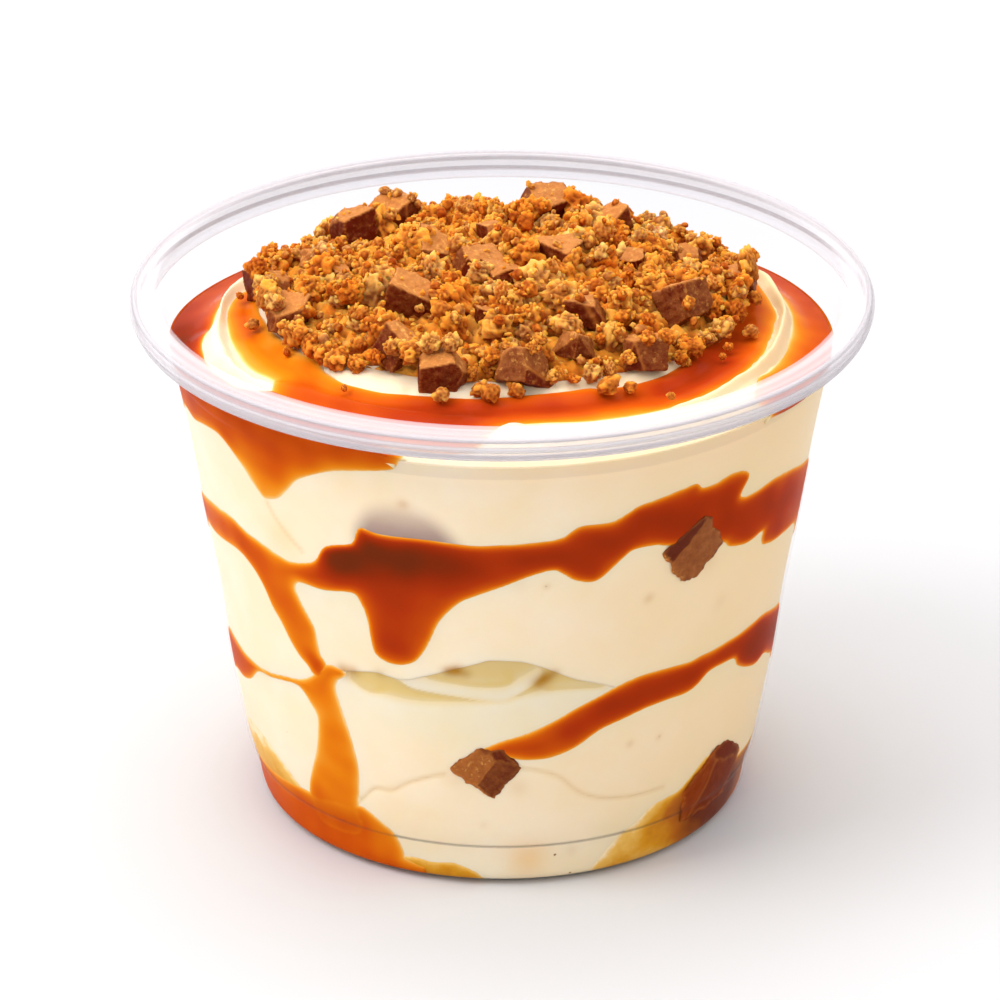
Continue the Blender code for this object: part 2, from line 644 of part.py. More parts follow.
def heap_pieces(chance):
    """The meshes of the heap's chocolate chunks, and of crumbs spread evenly between them."""
    for x, y, z, width, deep, tall, turn in HEAP_CHUNKS:
        mesh = chunk_mesh("heap_chunk", Vector((width, deep, tall)) * MM, CHUNK_SPREAD, chance)
        tilt = [math.radians(chance.uniform(-CHUNK_TILT, CHUNK_TILT)) for _ in range(2)]
        yield mesh, Vector((x, y, z)) * MM, Euler((*tilt, math.radians(turn)))
    for k in range(CRUMBS):
        share = math.sqrt((k + 0.5) / CRUMBS)
        x, y = heap_place(share, k * GOLDEN_ANGLE)
        size = chance.uniform(*CRUMB_SIZES)
        turn = [chance.uniform(0, math.tau) for _ in range(3)]
        height = heap_height(share) + CRUMB_LIFT * size
        yield crumb_mesh("heap_crumb", size, chance), Vector((x, y, height)), Euler(turn)


def make_heap(into):
    """The heap of crumbs and chocolate, joined into one solid that stands just clear of the cream."""
    heap = add_object("crumb_topping", heap_core(), "crumbs", into)
    joined = collection("heap pieces")
    for mesh, place, turn in heap_pieces(random.Random(SEED)):
        mesh.transform(Matrix.LocRotScale(place, turn, None))
        sunk = HEAP_BOTTOM + GAP / 2 - min(corner.co.z for corner in mesh.vertices)
        mesh.transform(Matrix.Translation((0, 0, max(sunk, 0))))
        joined.objects.link(bpy.data.objects.new(mesh.name, mesh))
    join = heap.modifiers.new("pieces of the heap", "BOOLEAN")
    join.operation = "UNION"
    join.operand_type = "COLLECTION"
    join.collection = joined
    join.solver = "MANIFOLD"
    apply_modifiers(heap)
    keep_largest(heap)
    for piece in list(joined.objects):
        bpy.data.objects.remove(piece)
    bpy.data.collections.remove(joined)


def main():
    for old in list(bpy.data.objects):
        bpy.data.objects.remove(old)
    parts = collection("tiramisu")
    cutters = collection("cutters")
    make_cup(parts)
    under_top = make_layers(parts)
    make_top(under_top, parts)
    make_wall_chunks(parts, cutters)
    cut_rooms(ROOMED, cutters)
    make_heap(parts)


main()
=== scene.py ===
"""Tiramisu dessert in a clear cup, dressed for the render.

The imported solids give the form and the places. Each of them is replaced by a finer piece: the cup by a
thin formed sheet with a rolled rim, the cream by smooth layers that touch the wall, the caramel by a
glossy sauce whose outline follows the photograph, and the heap by real crumbs and chocolate pieces.

Shapes are worked out in millimetres. An angle round the cup is in degrees, 0 at the front (-Y) and +90 at
the right (+X). A place on the wall is an (angle, height) pair.
"""

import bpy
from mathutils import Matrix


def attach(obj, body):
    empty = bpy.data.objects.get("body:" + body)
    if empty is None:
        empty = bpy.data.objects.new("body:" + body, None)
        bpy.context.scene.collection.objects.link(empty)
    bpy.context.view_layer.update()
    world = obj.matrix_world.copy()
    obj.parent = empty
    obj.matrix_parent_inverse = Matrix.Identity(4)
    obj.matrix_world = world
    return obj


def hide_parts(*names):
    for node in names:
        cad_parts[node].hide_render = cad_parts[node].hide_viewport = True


bl_info = {
    "name": "Tiramisu cup",
    "version": (1, 0, 0),
    "blender": (4, 5, 0),
    "location": "View3D > Sidebar > Dessert",
    "description": "Builds a layered cream and caramel dessert in a clear cup with a heap of crumbs",
    "category": "Object",
}

import math

import bmesh
import bpy
import numpy as np
from mathutils import Matrix, Vector

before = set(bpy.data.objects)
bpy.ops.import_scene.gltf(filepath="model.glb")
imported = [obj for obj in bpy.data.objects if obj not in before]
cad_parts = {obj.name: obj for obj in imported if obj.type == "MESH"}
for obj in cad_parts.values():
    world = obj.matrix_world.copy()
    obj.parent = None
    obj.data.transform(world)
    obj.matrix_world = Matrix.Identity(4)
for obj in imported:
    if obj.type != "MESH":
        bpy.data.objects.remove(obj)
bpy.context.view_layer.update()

MM = 0.001
SEED = 11


# ---------------------------------------------------------------------------------------------------------
# Curves and distances
# ---------------------------------------------------------------------------------------------------------


def through(places, values, at):
    """A cubic through (place, value) pairs, level where it turns, so that it never overshoots.

    values may hold many curves, one a row; the result then has a row for each."""
    places, values = np.asarray(places, float), np.asarray(values, float)
    at = np.clip(at, places[0], places[-1])
    width = np.diff(places)
    rise = np.diff(values, axis=-1) / width
    before, after = rise[..., :-1], rise[..., 1:]
    turns = before * after <= 0
    mean = np.where(turns, 0, 2 * before * after / np.where(turns, 1, before + after))
    slope = np.concatenate([rise[..., :1], mean, rise[..., -1:]], axis=-1)
    k = np.clip(np.searchsorted(places, at) - 1, 0, len(width) - 1)
    t = (at - places[k]) / width[k]
    start, end = values[..., k], values[..., k + 1]
    leaving, arriving = slope[..., k] * width[k], slope[..., k + 1] * width[k]
    return (
        start * (1 + 2 * t) * (1 - t) ** 2
        + leaving * t * (1 - t) ** 2
        + end * (3 - 2 * t) * t ** 2
        - arriving * (1 - t) * t ** 2
    )


def round_the_wall(points, angles):
    """The value at each angle of a line given as (angle, value) points that closes after a full turn."""
    place, value = np.array(points, float).T
    place = np.concatenate([place[-3:] - 360, place, place[:3] + 360])
    value = np.concatenate([value[-3:], value, value[:3]])
    return through(place, value, angles)


def smooth_outline(points, closed=True, steps=6):
    """Catmull-Rom curve through the points, with this many steps between two of them."""
    p = np.array(points, float)
    if closed:
        p0, p1, p2, p3 = (np.roll(p, shift, axis=0) for shift in (1, 0, -1, -2))
    else:
        ends = np.concatenate([[2 * p[0] - p[1]], p, [2 * p[-1] - p[-2]]])
        p0, p1, p2, p3 = (ends[k : len(ends) - 3 + k] for k in range(4))
    t = (np.arange(steps) / steps)[:, None, None]
    curve = 0.5 * (
        2 * p1
        + (p2 - p0) * t
        + (2 * p0 - 5 * p1 + 4 * p2 - p3) * t ** 2
        + (3 * p1 - p0 - 3 * p2 + p3) * t ** 3
    )
    curve = curve.transpose(1, 0, 2).reshape(-1, 2)
    return curve if closed else np.concatenate([curve, p[-1:]])


def to_segments(x, y, path, closed):
    """Distance of each point (x, y) from the path, and how many of its segments lie to the point's right."""
    a = path if closed else path[:-1]
    b = np.roll(path, -1, axis=0) if closed else path[1:]
    flat = np.stack([np.ravel(x), np.ravel(y)], 1)
    nearest = np.empty(len(flat))
    crossed = np.empty(len(flat), int)
    along = b - a
    length2 = np.maximum((along ** 2).sum(1), 1e-12)
    for part in np.array_split(np.arange(len(flat)), max(1, len(flat) * len(a) // 2_000_000)):
        from_a = flat[part, None] - a
        t = np.clip((from_a * along).sum(-1) / length2, 0, 1)
        nearest[part] = np.sqrt((((from_a - t[..., None] * along) ** 2).sum(-1)).min(1))
        rises = (a[:, 1] > flat[part, None, 1]) != (b[:, 1] > flat[part, None, 1])
        safe = np.where(along[:, 1] == 0, 1, along[:, 1])
        x_there = a[:, 0] + (flat[part, None, 1] - a[:, 1]) / safe * along[:, 0]
        crossed[part] = (rises & (flat[part, None, 0] < x_there)).sum(1)
    return nearest.reshape(np.shape(x)), crossed.reshape(np.shape(x))


def inside_by(x, y, outline):
    """Signed distance from a closed outline, positive inside."""
    distance, crossed = to_segments(x, y, outline, closed=True)
    return np.where(crossed % 2 == 1, distance, -distance)


def blob(x, y, x0, y0, reach):
    """A soft spot: 1 in its middle and falling to nothing over this reach."""
    return np.exp(-((x - x0) ** 2 + (y - y0) ** 2) / reach ** 2)


def ramp(value, low, high):
    """0 below low, 1 above high, smooth between."""
    t = np.clip((value - low) / (high - low), 0, 1)
    return t * t * (3 - 2 * t)


def waves(x, y, pitch, seed, count=24):
    """Soft uneven noise of about this pitch: a sum of plane waves with random directions and phases."""
    chance = np.random.default_rng(seed)
    turn = chance.uniform(0, 2 * np.pi, count)
    rate = 2 * np.pi / (pitch * chance.uniform(0.7, 1.6, count))
    phase = chance.uniform(0, 2 * np.pi, count)
    total = np.zeros(np.shape(x))
    for k in range(count):
        total += np.sin(rate[k] * (np.cos(turn[k]) * x + np.sin(turn[k]) * y) + phase[k])
    return total / math.sqrt(count / 2)


# ---------------------------------------------------------------------------------------------------------
# Meshes
# ---------------------------------------------------------------------------------------------------------


def make_mesh(name, points, faces, attributes=None, smooth=True):
    """A mesh object from points in mm, an array of faces, and a value at each point for each attribute."""
    mesh = bpy.data.meshes.new(name)
    faces = np.asarray(faces, np.int64)
    mesh.vertices.add(len(points))
    mesh.vertices.foreach_set("co", (np.asarray(points, float) * MM).ravel())
    mesh.loops.add(faces.size)
    mesh.loops.foreach_set("vertex_index", faces.ravel())
    mesh.polygons.add(len(faces))
    mesh.polygons.foreach_set("loop_start", np.arange(len(faces)) * faces.shape[1])
    mesh.polygons.foreach_set("use_smooth", np.full(len(faces), smooth))
    for key, values in (attributes or {}).items():
        layer = mesh.attributes.new(key, "FLOAT", "POINT")
        layer.data.foreach_set("value", np.ravel(values).astype(np.float32))
    mesh.update(calc_edges=True)
    mesh.validate()
    made = bpy.data.objects.new(name, mesh)
    bpy.context.scene.collection.objects.link(made)
    return made


def weld(piece, distance=1e-7):
    """Merges the points that coincide, drops loose ones and makes the faces point out."""
    solid = bmesh.new()
    solid.from_mesh(piece.data)
    bmesh.ops.remove_doubles(solid, verts=solid.verts, dist=distance)
    bmesh.ops.delete(solid, geom=[v for v in solid.verts if not v.link_faces], context="VERTS")
    bmesh.ops.recalc_face_normals(solid, faces=solid.faces)
    solid.to_mesh(piece.data)
    solid.free()
    return piece


def grid_faces(rows, columns, wrap):
    """Corner indices of the cells of a grid, whose last row joins the first if it wraps."""
    index = np.arange(rows * columns).reshape(rows, columns)
    index = np.concatenate([index, index[:1]]) if wrap else index
    a, b, c, d = index[:-1, :-1], index[1:, :-1], index[1:, 1:], index[:-1, 1:]
    return np.stack([a, b, c, d], -1)


def turned_body(name, points, attributes):
    """A closed body whose points (angles, places along a profile, 3) start and end on the cup's axis."""
    rows, columns = points.shape[:2]
    faces = grid_faces(rows, columns, wrap=True).reshape(-1, 4)
    return weld(make_mesh(name, points.reshape(-1, 3), faces, attributes))


def shell_between(name, outer, inner, wanted, wrap, attributes):
    """A closed skin between two grids of points, over the cells wanted.

    Its faces are the outer cells, the inner cells turned round, and a wall on each edge between a cell
    that is wanted and one that isn't."""
    rows, columns = outer.shape[:2]
    count = rows * columns
    cells = grid_faces(rows, columns, wrap)
    keep = wanted[: len(cells)]
    before = np.roll(keep, 1, axis=0)
    after = np.roll(keep, -1, axis=0)
    if not wrap:
        before[0] = after[-1] = False
    left = np.pad(keep, ((0, 0), (1, 0)))[:, :-1]
    right = np.pad(keep, ((0, 0), (0, 1)))[:, 1:]
    faces = [cells[keep], (cells[keep] + count)[:, ::-1]]
    for side, neighbour in enumerate((left, after, right, before)):
        bare = cells[keep & ~neighbour]
        a, b = bare[:, side], bare[:, (side + 1) % 4]
        faces.append(np.stack([b, a, a + count, b + count], 1))
    points = np.concatenate([outer.reshape(-1, 3), inner.reshape(-1, 3)])
    both = {key: np.concatenate([np.ravel(v), np.ravel(v)]) for key, v in attributes.items()}
    return weld(make_mesh(name, points, np.concatenate(faces), both))


def cells_near(inside, limit, wrap):
    """Which cells of a grid have a corner farther inside an outline than this limit."""
    near = (np.concatenate([inside, inside[:1]]) if wrap else inside) > limit
    return near[:-1, :-1] | near[1:, :-1] | near[1:, 1:] | near[:-1, 1:]


def at_angle(angles, radius, height):
    """Points at these angles, radii and heights."""
    turn = np.radians(angles)
    return np.stack([radius * np.sin(turn), -radius * np.cos(turn), height + 0 * turn], -1)


def wall_angles(start=-180.0, end=180.0, front_step=0.6, back_step=1.5, front=96.0):
    """Angles from start to end, close together on the front and wider apart on the back."""
    parts = []
    stretches = ((-180, -front, back_step), (-front, front, front_step), (front, 180, back_step))
    for turn in (0, 360):
        for low, high, step in stretches:
            low, high = max(low + turn, start), min(high + turn, end)
            if high > low:
                parts.append(np.linspace(low, high, max(2, round((high - low) / step) + 1))[:-1])
    angles = np.concatenate(parts)
    return angles if end - start >= 360 else np.append(angles, end)


# ---------------------------------------------------------------------------------------------------------
# Materials
# ---------------------------------------------------------------------------------------------------------


def linear(colour):
    """Linear RGBA of an sRGB hex colour such as #F6E7C6."""
    parts = [int(colour[k : k + 2], 16) / 255 for k in (1, 3, 5)]
    return (*[c / 12.92 if c <= 0.04045 else ((c + 0.055) / 1.055) ** 2.4 for c in parts], 1.0)


def add_node(tree, kind, settings=None, inputs=None, **links):
    """Adds a node, sets its properties and input values, and links its inputs by name or _number."""
    node = tree.nodes.new(kind)
    for key, value in (settings or {}).items():
        setattr(node, key, value)
    for key, value in (inputs or {}).items():
        node.inputs[key].default_value = value
    for key, source in links.items():
        place = int(key[1:]) if key[0] == "_" else key.replace("__", " ")
        tree.links.new(source, node.inputs[place])
    return node


def new_material(name):
    """A node material that is empty but for its output, its node tree, and that output."""
    made = bpy.data.materials.new(name)
    made.use_nodes = True
    made.node_tree.nodes.clear()
    return made, made.node_tree, add_node(made.node_tree, "ShaderNodeOutputMaterial")


def end_in(material, shader):
    """Links the shader to the output of what new_material gave, and gives the material itself."""
    made, tree, output = material
    tree.links.new(shader.outputs[0], output.inputs["Surface"])
    return made


def principled(material, inputs, **links):
    """Ends the material in a Principled shader with these input values and links."""
    return end_in(material, add_node(material[1], "ShaderNodeBsdfPrincipled", inputs=inputs, **links))


def colour_ramp(tree, source, stops):
    """Colours at places from 0 to 1, read at source. stops are (place, hex colour) pairs."""
    node = add_node(tree, "ShaderNodeValToRGB", Fac=source)
    elements = node.color_ramp.elements
    while len(elements) < len(stops):
        elements.new(0.5)
    for element, (place, colour) in zip(elements, stops):
        element.position = place
        element.color = linear(colour)
    return node.outputs["Color"]


def noise(tree, pitch_mm, detail=3.0, roughness=0.55):
    """Noise on object coordinates whose lumps are about this many mm apart."""
    place = add_node(tree, "ShaderNodeTexCoord").outputs["Object"]
    inputs = {"Scale": 1 / (pitch_mm * MM), "Detail": detail, "Roughness": roughness}
    return add_node(tree, "ShaderNodeTexNoise", inputs=inputs, Vector=place).outputs["Fac"]


def bump(tree, height, depth_mm):
    """A bump of this depth in mm from a height source."""
    inputs = {"Distance": depth_mm * MM, "Strength": 1.0}
    return add_node(tree, "ShaderNodeBump", inputs=inputs, Height=height).outputs["Normal"]


def attribute(tree, name):
    """The value of a point attribute of the mesh."""
    return add_node(tree, "ShaderNodeAttribute", {"attribute_name": name}).outputs["Fac"]


def math_node(tree, operation, a, b, clamp=False):
    """a and b are sockets or numbers."""
    node = add_node(tree, "ShaderNodeMath", {"operation": operation, "use_clamp": clamp})
    for k, value in enumerate((a, b)):
        if isinstance(value, (int, float)):
            node.inputs[k].default_value = value
        else:
            tree.links.new(value, node.inputs[k])
    return node.outputs[0]


def mix_colour(tree, share, a, b):
    """Mixes colours a and b, each a socket or a hex colour, by a share that is a socket or a number."""
    node = add_node(tree, "ShaderNodeMix", {"data_type": "RGBA"})
    for place, value in ((0, share), (6, a), (7, b)):
        if isinstance(value, str):
            node.inputs[place].default_value = linear(value)
        elif isinstance(value, (int, float)):
            node.inputs[place].default_value = value
        else:
            tree.links.new(value, node.inputs[place])
    return node.outputs[2]


def finish_piece(piece, material, slot, *replaced):
    """Gives a piece its material and its body, and hides the nodes that it stands for. slot is not used."""
    piece.data.materials.clear()
    piece.data.materials.append(material)
    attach(piece, "root")
    if replaced:
        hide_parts(*replaced)


# ---------------------------------------------------------------------------------------------------------
# The cup
# ---------------------------------------------------------------------------------------------------------

# (height, outer radius) of the wall in mm, from the stacking step to the rim.
WALL = (
    (6.65, 33.5), (13.0, 34.65), (20.0, 35.8), (30.0, 37.12), (42.0, 39.09), (54.0, 40.96), (61.6, 42.45),
    (62.0, 42.52), (62.5, 42.78), (63.0, 42.86), (66.5, 43.5), (69.4, 44.05),
)
# (radius, height, reach of the rounding) of the sheet's middle from the floor to the wall.
FOOT_PATH = (
    (0, 0.83, 0), (25.4, 0.83, 0.5), (26.6, 0.24, 0.6), (30.5, 0.24, 1.2), (31.9, 1.5, 0.9),
    (32.6, 6.2, 0.5), (33.15, 6.75, 0.5),
)
# The rolled rim: over the top, down the outside and in under it.
RIM_PATH = (
    (43.95, 70.28, 0.7), (46.1, 70.28, 1.3), (47.27, 69.2, 0.9), (47.27, 67.9, 1.0), (46.5, 66.9, 0.8),
    (45.1, 66.75, 0),
)
# (height, radius) that the food reaches: the wall's inside.
INSIDE = (
    (0.45, 30.2), (0.7, 30.9), (1.2, 31.4), (2.0, 31.7), (4.2, 32.1), (5.8, 32.46), (7.2, 32.95),
    (9.0, 33.44), (13.0, 34.2), (20.0, 35.35), (30.0, 36.67), (42.0, 38.64), (54.0, 40.51), (62.3, 42.1),
    (66.5, 43.05), (70.0, 43.7),
)
FOOD_FLOOR = 0.45  # height of the sheet's upper face in the middle, where the food begins, in mm
RIM_FROST = (43.8, 44.3)  # radii between which the frosted look of the rim sets in
FROST_RINGS = (0.8, 0.2, 4.6)  # its mean, its change from ring to ring, and radians of that change per mm
FROST_FADES = (-25, 30)  # y in mm between which it falls to half towards the back


def inner_radius(heights):
    """Radius of the wall's inside at these heights."""
    return through(*np.array(INSIDE).T, heights)


def rounded_path(corners, steps=6):
    """The path through (x, y, reach) corners, each cut by a parabola that starts this far before it."""
    p = np.array(corners, float)
    reach, p = p[:, 2:], p[:, :2]
    before, after = np.roll(p, 1, axis=0) - p, np.roll(p, -1, axis=0) - p
    before /= np.maximum(np.linalg.norm(before, axis=1, keepdims=True), 1e-9)
    after /= np.maximum(np.linalg.norm(after, axis=1, keepdims=True), 1e-9)
    t = np.linspace(0, 1, steps)[:, None, None]
    start, end = p + before * reach, p + after * reach
    curve = start * (1 - t) ** 2 + 2 * p * t * (1 - t) + end * t ** 2
    curve = curve.transpose(1, 0, 2)
    kept = [curve[k] if 0 < k < len(p) - 1 else p[k : k + 1] for k in range(len(p))]
    return np.concatenate(kept)


def cup_sheet(thickness):
    """(radius, height) points of the sheet's section, up its inside, round the rim's end and down again.

    The sheet's middle line is moved to both sides by half the thickness, along its own normal."""
    stretches = ((8.2, 60.5, 26), (61.4, 63.4, 9), (64.5, 68.9, 5))
    heights = np.concatenate([np.linspace(*stretch) for stretch in stretches])
    wall = np.stack([through(*np.array(WALL).T, heights) - thickness / 2, heights], 1)
    middle = np.concatenate([
        rounded_path(FOOT_PATH + ((34.0 - thickness / 2, 9.0, 0),))[:-1],
        wall,
        rounded_path(((43.75, 69.2, 0),) + RIM_PATH)[1:],
    ])
    along = np.gradient(middle, axis=0)
    along /= np.linalg.norm(along, axis=1, keepdims=True)
    normal = np.stack([-along[:, 1], along[:, 0]], 1)
    normal[0] = (0, 1)
    inside, outside = middle + normal * thickness / 2, middle - normal * thickness / 2
    tip = middle[-1:] + along[-1:] * thickness / 3
    return np.concatenate([inside, tip, outside[::-1]])


def make_cup(thickness):
    """The sheet's section turned round the axis. Its rim looks frosted, in rings, and less so at the back."""
    section = cup_sheet(thickness / MM)
    mean, change, rate = FROST_RINGS
    angles = np.linspace(-180, 180, 257)[:-1]
    points = at_angle(angles[:, None], section[:, 0], section[:, 1])
    rim = ramp(section[:, 0], *RIM_FROST) * (mean + change * np.cos(rate * section[:, 0]))
    front = 1 - 0.5 * ramp(points[..., 1], *FROST_FADES)
    return turned_body("clear_cup", points, {"rim": rim * front})


def clear_plastic():
    """PET, thermoformed: a clear sheet that shows where it is seen edge on, and at its frosted rim.

    Thin sheet hardly bends light, so light goes straight through. Its gloss and its haze grow with the 7th
    power of how far it is turned away, and the haze with the attribute rim as well."""
    material = new_material("clear_pet")
    tree = material[1]
    edge_on = add_node(tree, "ShaderNodeLayerWeight", inputs={"Blend": 0.5}).outputs["Facing"]
    steep = math_node(tree, "POWER", edge_on, 7.0)
    tint = mix_colour(tree, math_node(tree, "POWER", edge_on, 1.5), "#F9F9FA", "#FFFFFF")
    clear = add_node(tree, "ShaderNodeBsdfTransparent", Color=tint)
    gloss = add_node(tree, "ShaderNodeBsdfGlossy", inputs={"Roughness": 0.15, "Color": linear("#FFFFFF")})
    haze = add_node(tree, "ShaderNodeBsdfDiffuse", inputs={"Color": linear("#F0EBEE")})
    hazy = math_node(tree, "ADD", math_node(tree, "MULTIPLY", steep, 0.12),
                     math_node(tree, "MULTIPLY", attribute(tree, "rim"), 0.46), clamp=True)
    soft = add_node(tree, "ShaderNodeMixShader", Fac=hazy, _1=clear.outputs[0], _2=haze.outputs[0])
    mirror = math_node(tree, "ADD", math_node(tree, "MULTIPLY", steep, 0.14), 0.001)
    return end_in(material, add_node(tree, "ShaderNodeMixShader", Fac=mirror, _1=soft.outputs[0],
                                     _2=gloss.outputs[0]))


# ---------------------------------------------------------------------------------------------------------
# Lines on the wall, as (angle, height) points
# ---------------------------------------------------------------------------------------------------------

# Where two layers of cream meet. In front it is the lip over the hollow in the cream; elsewhere a caramel
# band covers it.
LOWER_PARTING = (
    (-150, 21.5), (-120, 20.8), (-90, 19.0), (-80, 21.5), (-70, 22.4), (-60, 24.2), (-50, 25.5),
    (-44, 26.2), (-40, 27.2), (-36, 29.4), (-33, 30.4), (-30, 31.0), (-25, 31.6), (-20, 31.2), (-15, 32.3),
    (-10, 33.6), (-5, 34.8), (-2, 35.4), (3, 35.2), (7, 34.4), (10, 33.4), (14, 32.0), (18, 31.0),
    (22, 29.9), (26, 28.0), (34, 28.0), (46, 29.2), (56, 28.2), (66, 27.2), (76, 25.4), (90, 21.0),
    (120, 22.0), (150, 23.0), (180, 24.0),
)
UPPER_PARTING = (
    (-150, 43.5), (-120, 41.0), (-90, 39.0), (-80, 42.0), (-70, 43.5), (-60, 44.4), (-50, 43.0),
    (-45, 43.3), (-40, 43.6), (-35, 44.5), (-30, 46.0), (-25, 47.0), (-15, 47.5), (-5, 48.7), (0, 49.5),
    (9, 51.0), (16, 51.0), (24, 53.4), (30, 53.7), (36, 53.2), (44, 52.5), (48, 50.0), (55, 49.5),
    (60, 48.0), (70, 46.5), (80, 44.0), (90, 40.5), (120, 42.5), (150, 44.5), (180, 45.5),
)
FOOD_TOP = (  # where the cream's top meets the wall
    (-150, 60.0), (-120, 61.0), (-90, 62.6), (-60, 63.8), (-30, 64.2), (0, 64.2), (45, 64.2), (60, 63.4),
    (75, 62.7), (90, 62.2), (120, 61.4), (150, 60.2), (180, 59.4),
)
# The layers inside, a little way in from the wall.
SPONGE_TOP = (
    (-180, 9.0), (-120, 9.5), (-70, 12.4), (-50, 9.6), (-25, 6.4), (0, 2.4), (32, 10.6), (50, 13.0),
    (70, 9.4), (120, 9.0),
)
LOWER_BAND = (  # (angle, underside, top)
    (-180, 22.0, 26.0), (-100, 18.4, 23.6), (-70, 20.2, 24.6), (-40, 24.0, 28.4), (-20, 23.0, 26.0),
    (0, 20.8, 23.2), (20, 23.7, 29.0), (45, 26.6, 30.7), (65, 23.8, 30.6), (92, 18.0, 25.0),
)
MIDDLE_BAND = (
    (-180, 43.0, 47.0), (-92, 37.4, 42.6), (-62, 41.8, 46.2), (-40, 38.0, 44.6), (-20, 40.0, 50.0),
    (0, 46.0, 52.0), (24, 49.8, 56.0), (44, 47.0, 56.0), (60, 44.6, 52.6), (92, 36.2, 45.4),
)
SPONGE_LEVEL, LOWER_LEVELS, MIDDLE_LEVELS = 9.0, (23.6, 26.8), (47.6, 51.0)

# Outlines of what shows on the wall. Angles over 180 go on round the back.
MIDDLE_OUTLINE = (
    (-200, 42.5), (-180, 43.0), (-150, 41.0), (-120, 38.0), (-90, 36.0), (-80, 39.8), (-75, 40.5),
    (-70, 41.0), (-60, 42.0), (-55, 41.0), (-52, 39.0), (-50, 36.3), (-48, 34.5), (-46, 32.2), (-44, 30.5),
    (-42, 29.5), (-40.5, 28.4), (-38.5, 28.2), (-37, 29.4), (-37, 31.0), (-38, 32.0), (-38.3, 34.0),
    (-38.6, 36.0), (-41, 39.0), (-42, 41.0), (-40.5, 42.2), (-35, 42.3), (-30, 43.0), (-28, 43.0),
    (-27, 42.0), (-26, 40.0), (-25.5, 36.5), (-25, 34.7), (-23, 33.7), (-20, 33.5), (-17, 34.3),
    (-15, 36.0), (-13.5, 38.0), (-11.5, 41.0), (-8, 43.8), (-5, 45.0), (0, 46.5), (5, 48.0), (9, 48.7),
    (11, 48.0), (13, 47.0), (16, 46.4), (18, 46.8), (20, 48.0), (22, 49.3), (24, 50.2), (28, 50.2),
    (31, 49.6), (37, 48.6), (44, 47.3), (46, 46.2), (50, 45.4), (53, 45.3), (56.4, 45.6), (56.6, 44.4),
    (57.4, 43.4), (60, 42.8), (62, 42.5), (68, 42.0), (75, 41.0), (80, 39.0), (90, 35.0), (120, 38.0),
    (150, 42.0), (180, 43.0), (200, 42.5), (200, 47.5), (180, 48.0), (120, 47.0), (90, 46.0), (80, 49.0),
    (70, 51.0), (65, 52.0), (58, 52.9), (50, 52.7), (47.2, 53.2), (47.5, 54.2), (48.6, 55.6), (48, 56.5),
    (46, 57.2), (43, 57.4), (40, 56.9), (37, 56.9), (35.5, 57.8), (33, 57.7), (28, 57.1), (24, 56.6),
    (22, 55.8), (19, 54.9), (14, 54.9), (12, 54.2), (10, 53.3), (5, 52.9), (0, 52.7), (-5, 52.5),
    (-13, 52.9), (-22, 52.8), (-25.6, 53.2), (-27, 51.2), (-28, 50.4), (-32, 49.5), (-34, 48.6),
    (-36, 46.5), (-38, 45.7), (-42, 44.9), (-45, 45.0), (-50, 45.6), (-55, 46.0), (-60, 46.7), (-65, 46.3),
    (-70, 45.8), (-75, 45.0), (-80, 44.0), (-90, 42.5), (-120, 44.0), (-180, 48.0), (-200, 47.5),
)
LOWER_OUTLINE = (
    (-4.4, 21.7), (-3, 21.0), (0, 20.8), (5, 20.2), (10, 20.4), (15, 21.6), (20, 23.7), (25, 24.7),
    (30, 25.5), (35, 25.8), (40, 25.8), (43, 26.4), (46, 27.6), (50, 27.7), (54, 27.4), (56, 25.9),
    (60, 24.5), (65, 23.5), (70, 23.5), (75, 22.0), (80, 20.5), (90, 17.0), (120, 19.0), (180, 22.0),
    (240, 18.0), (270, 16.0), (280, 18.5), (285, 19.5), (290, 20.0), (295, 21.3), (300, 23.8), (305, 24.4),
    (310, 25.2), (313.5, 25.6), (315.5, 25.2), (317.4, 23.8), (319, 22.0), (318.4, 19.0), (317, 16.0),
    (314.6, 12.6), (313, 10.0), (312, 7.0), (314, 4.0), (324, 4.0), (328, 6.5), (327.2, 10.0), (328, 12.6),
    (328.5, 16.0), (328, 19.0), (327, 22.0), (326, 24.4), (325, 27.0), (325.4, 28.6), (326.6, 29.4),
    (327.6, 30.1), (327, 30.7), (325.6, 30.9), (324, 30.9), (322, 30.3), (320, 28.8), (318, 27.7),
    (316, 27.0), (314, 26.5), (310, 25.9), (305, 25.1), (300, 24.7), (295, 24.7), (290, 24.9), (285, 25.0),
    (280, 24.5), (270, 22.0), (240, 23.6), (180, 26.0), (120, 25.0), (90, 25.0), (80, 28.0), (75, 29.0),
    (70, 30.0), (65, 30.9), (60, 31.0), (54, 30.9), (50, 30.9), (46, 30.7), (43, 30.7), (40, 30.5),
    (35, 30.7), (30, 30.8), (25, 30.3), (20, 29.0), (15, 27.6), (10, 25.8), (5, 24.3), (0, 23.2),
    (-3, 22.3),
)
POOL_OUTLINE = (
    (50, -2), (56, 0.2), (70, 1.2), (84, 2.4), (120, 4.0), (180, 4.0), (260, 6.0), (280, 7.0), (298, 7.9),
    (305, 8.5), (315, 9.0), (320, 9.6), (327, 10.0), (330, 9.4), (333, 8.0), (335, 7.0), (336.5, 5.0),
    (337.2, 3.0), (337.6, -2),
)
SPONGE_OUTLINE = (
    (17, -2), (19.5, 0.4), (23, 3.0), (27, 5.8), (31, 7.6), (34, 9.4), (38, 10.0), (42, 10.4), (46, 12.2),
    (50, 13.8), (58, 13.6), (66, 10.4), (70, 9.4), (120, 9.0), (180, 9.0), (240, 9.5), (270, 10.2),
    (280, 11.4), (287, 12.8), (294, 13.1), (300, 12.2), (304, 11.0), (308, 9.4), (311, 7.0), (312, -2),
)
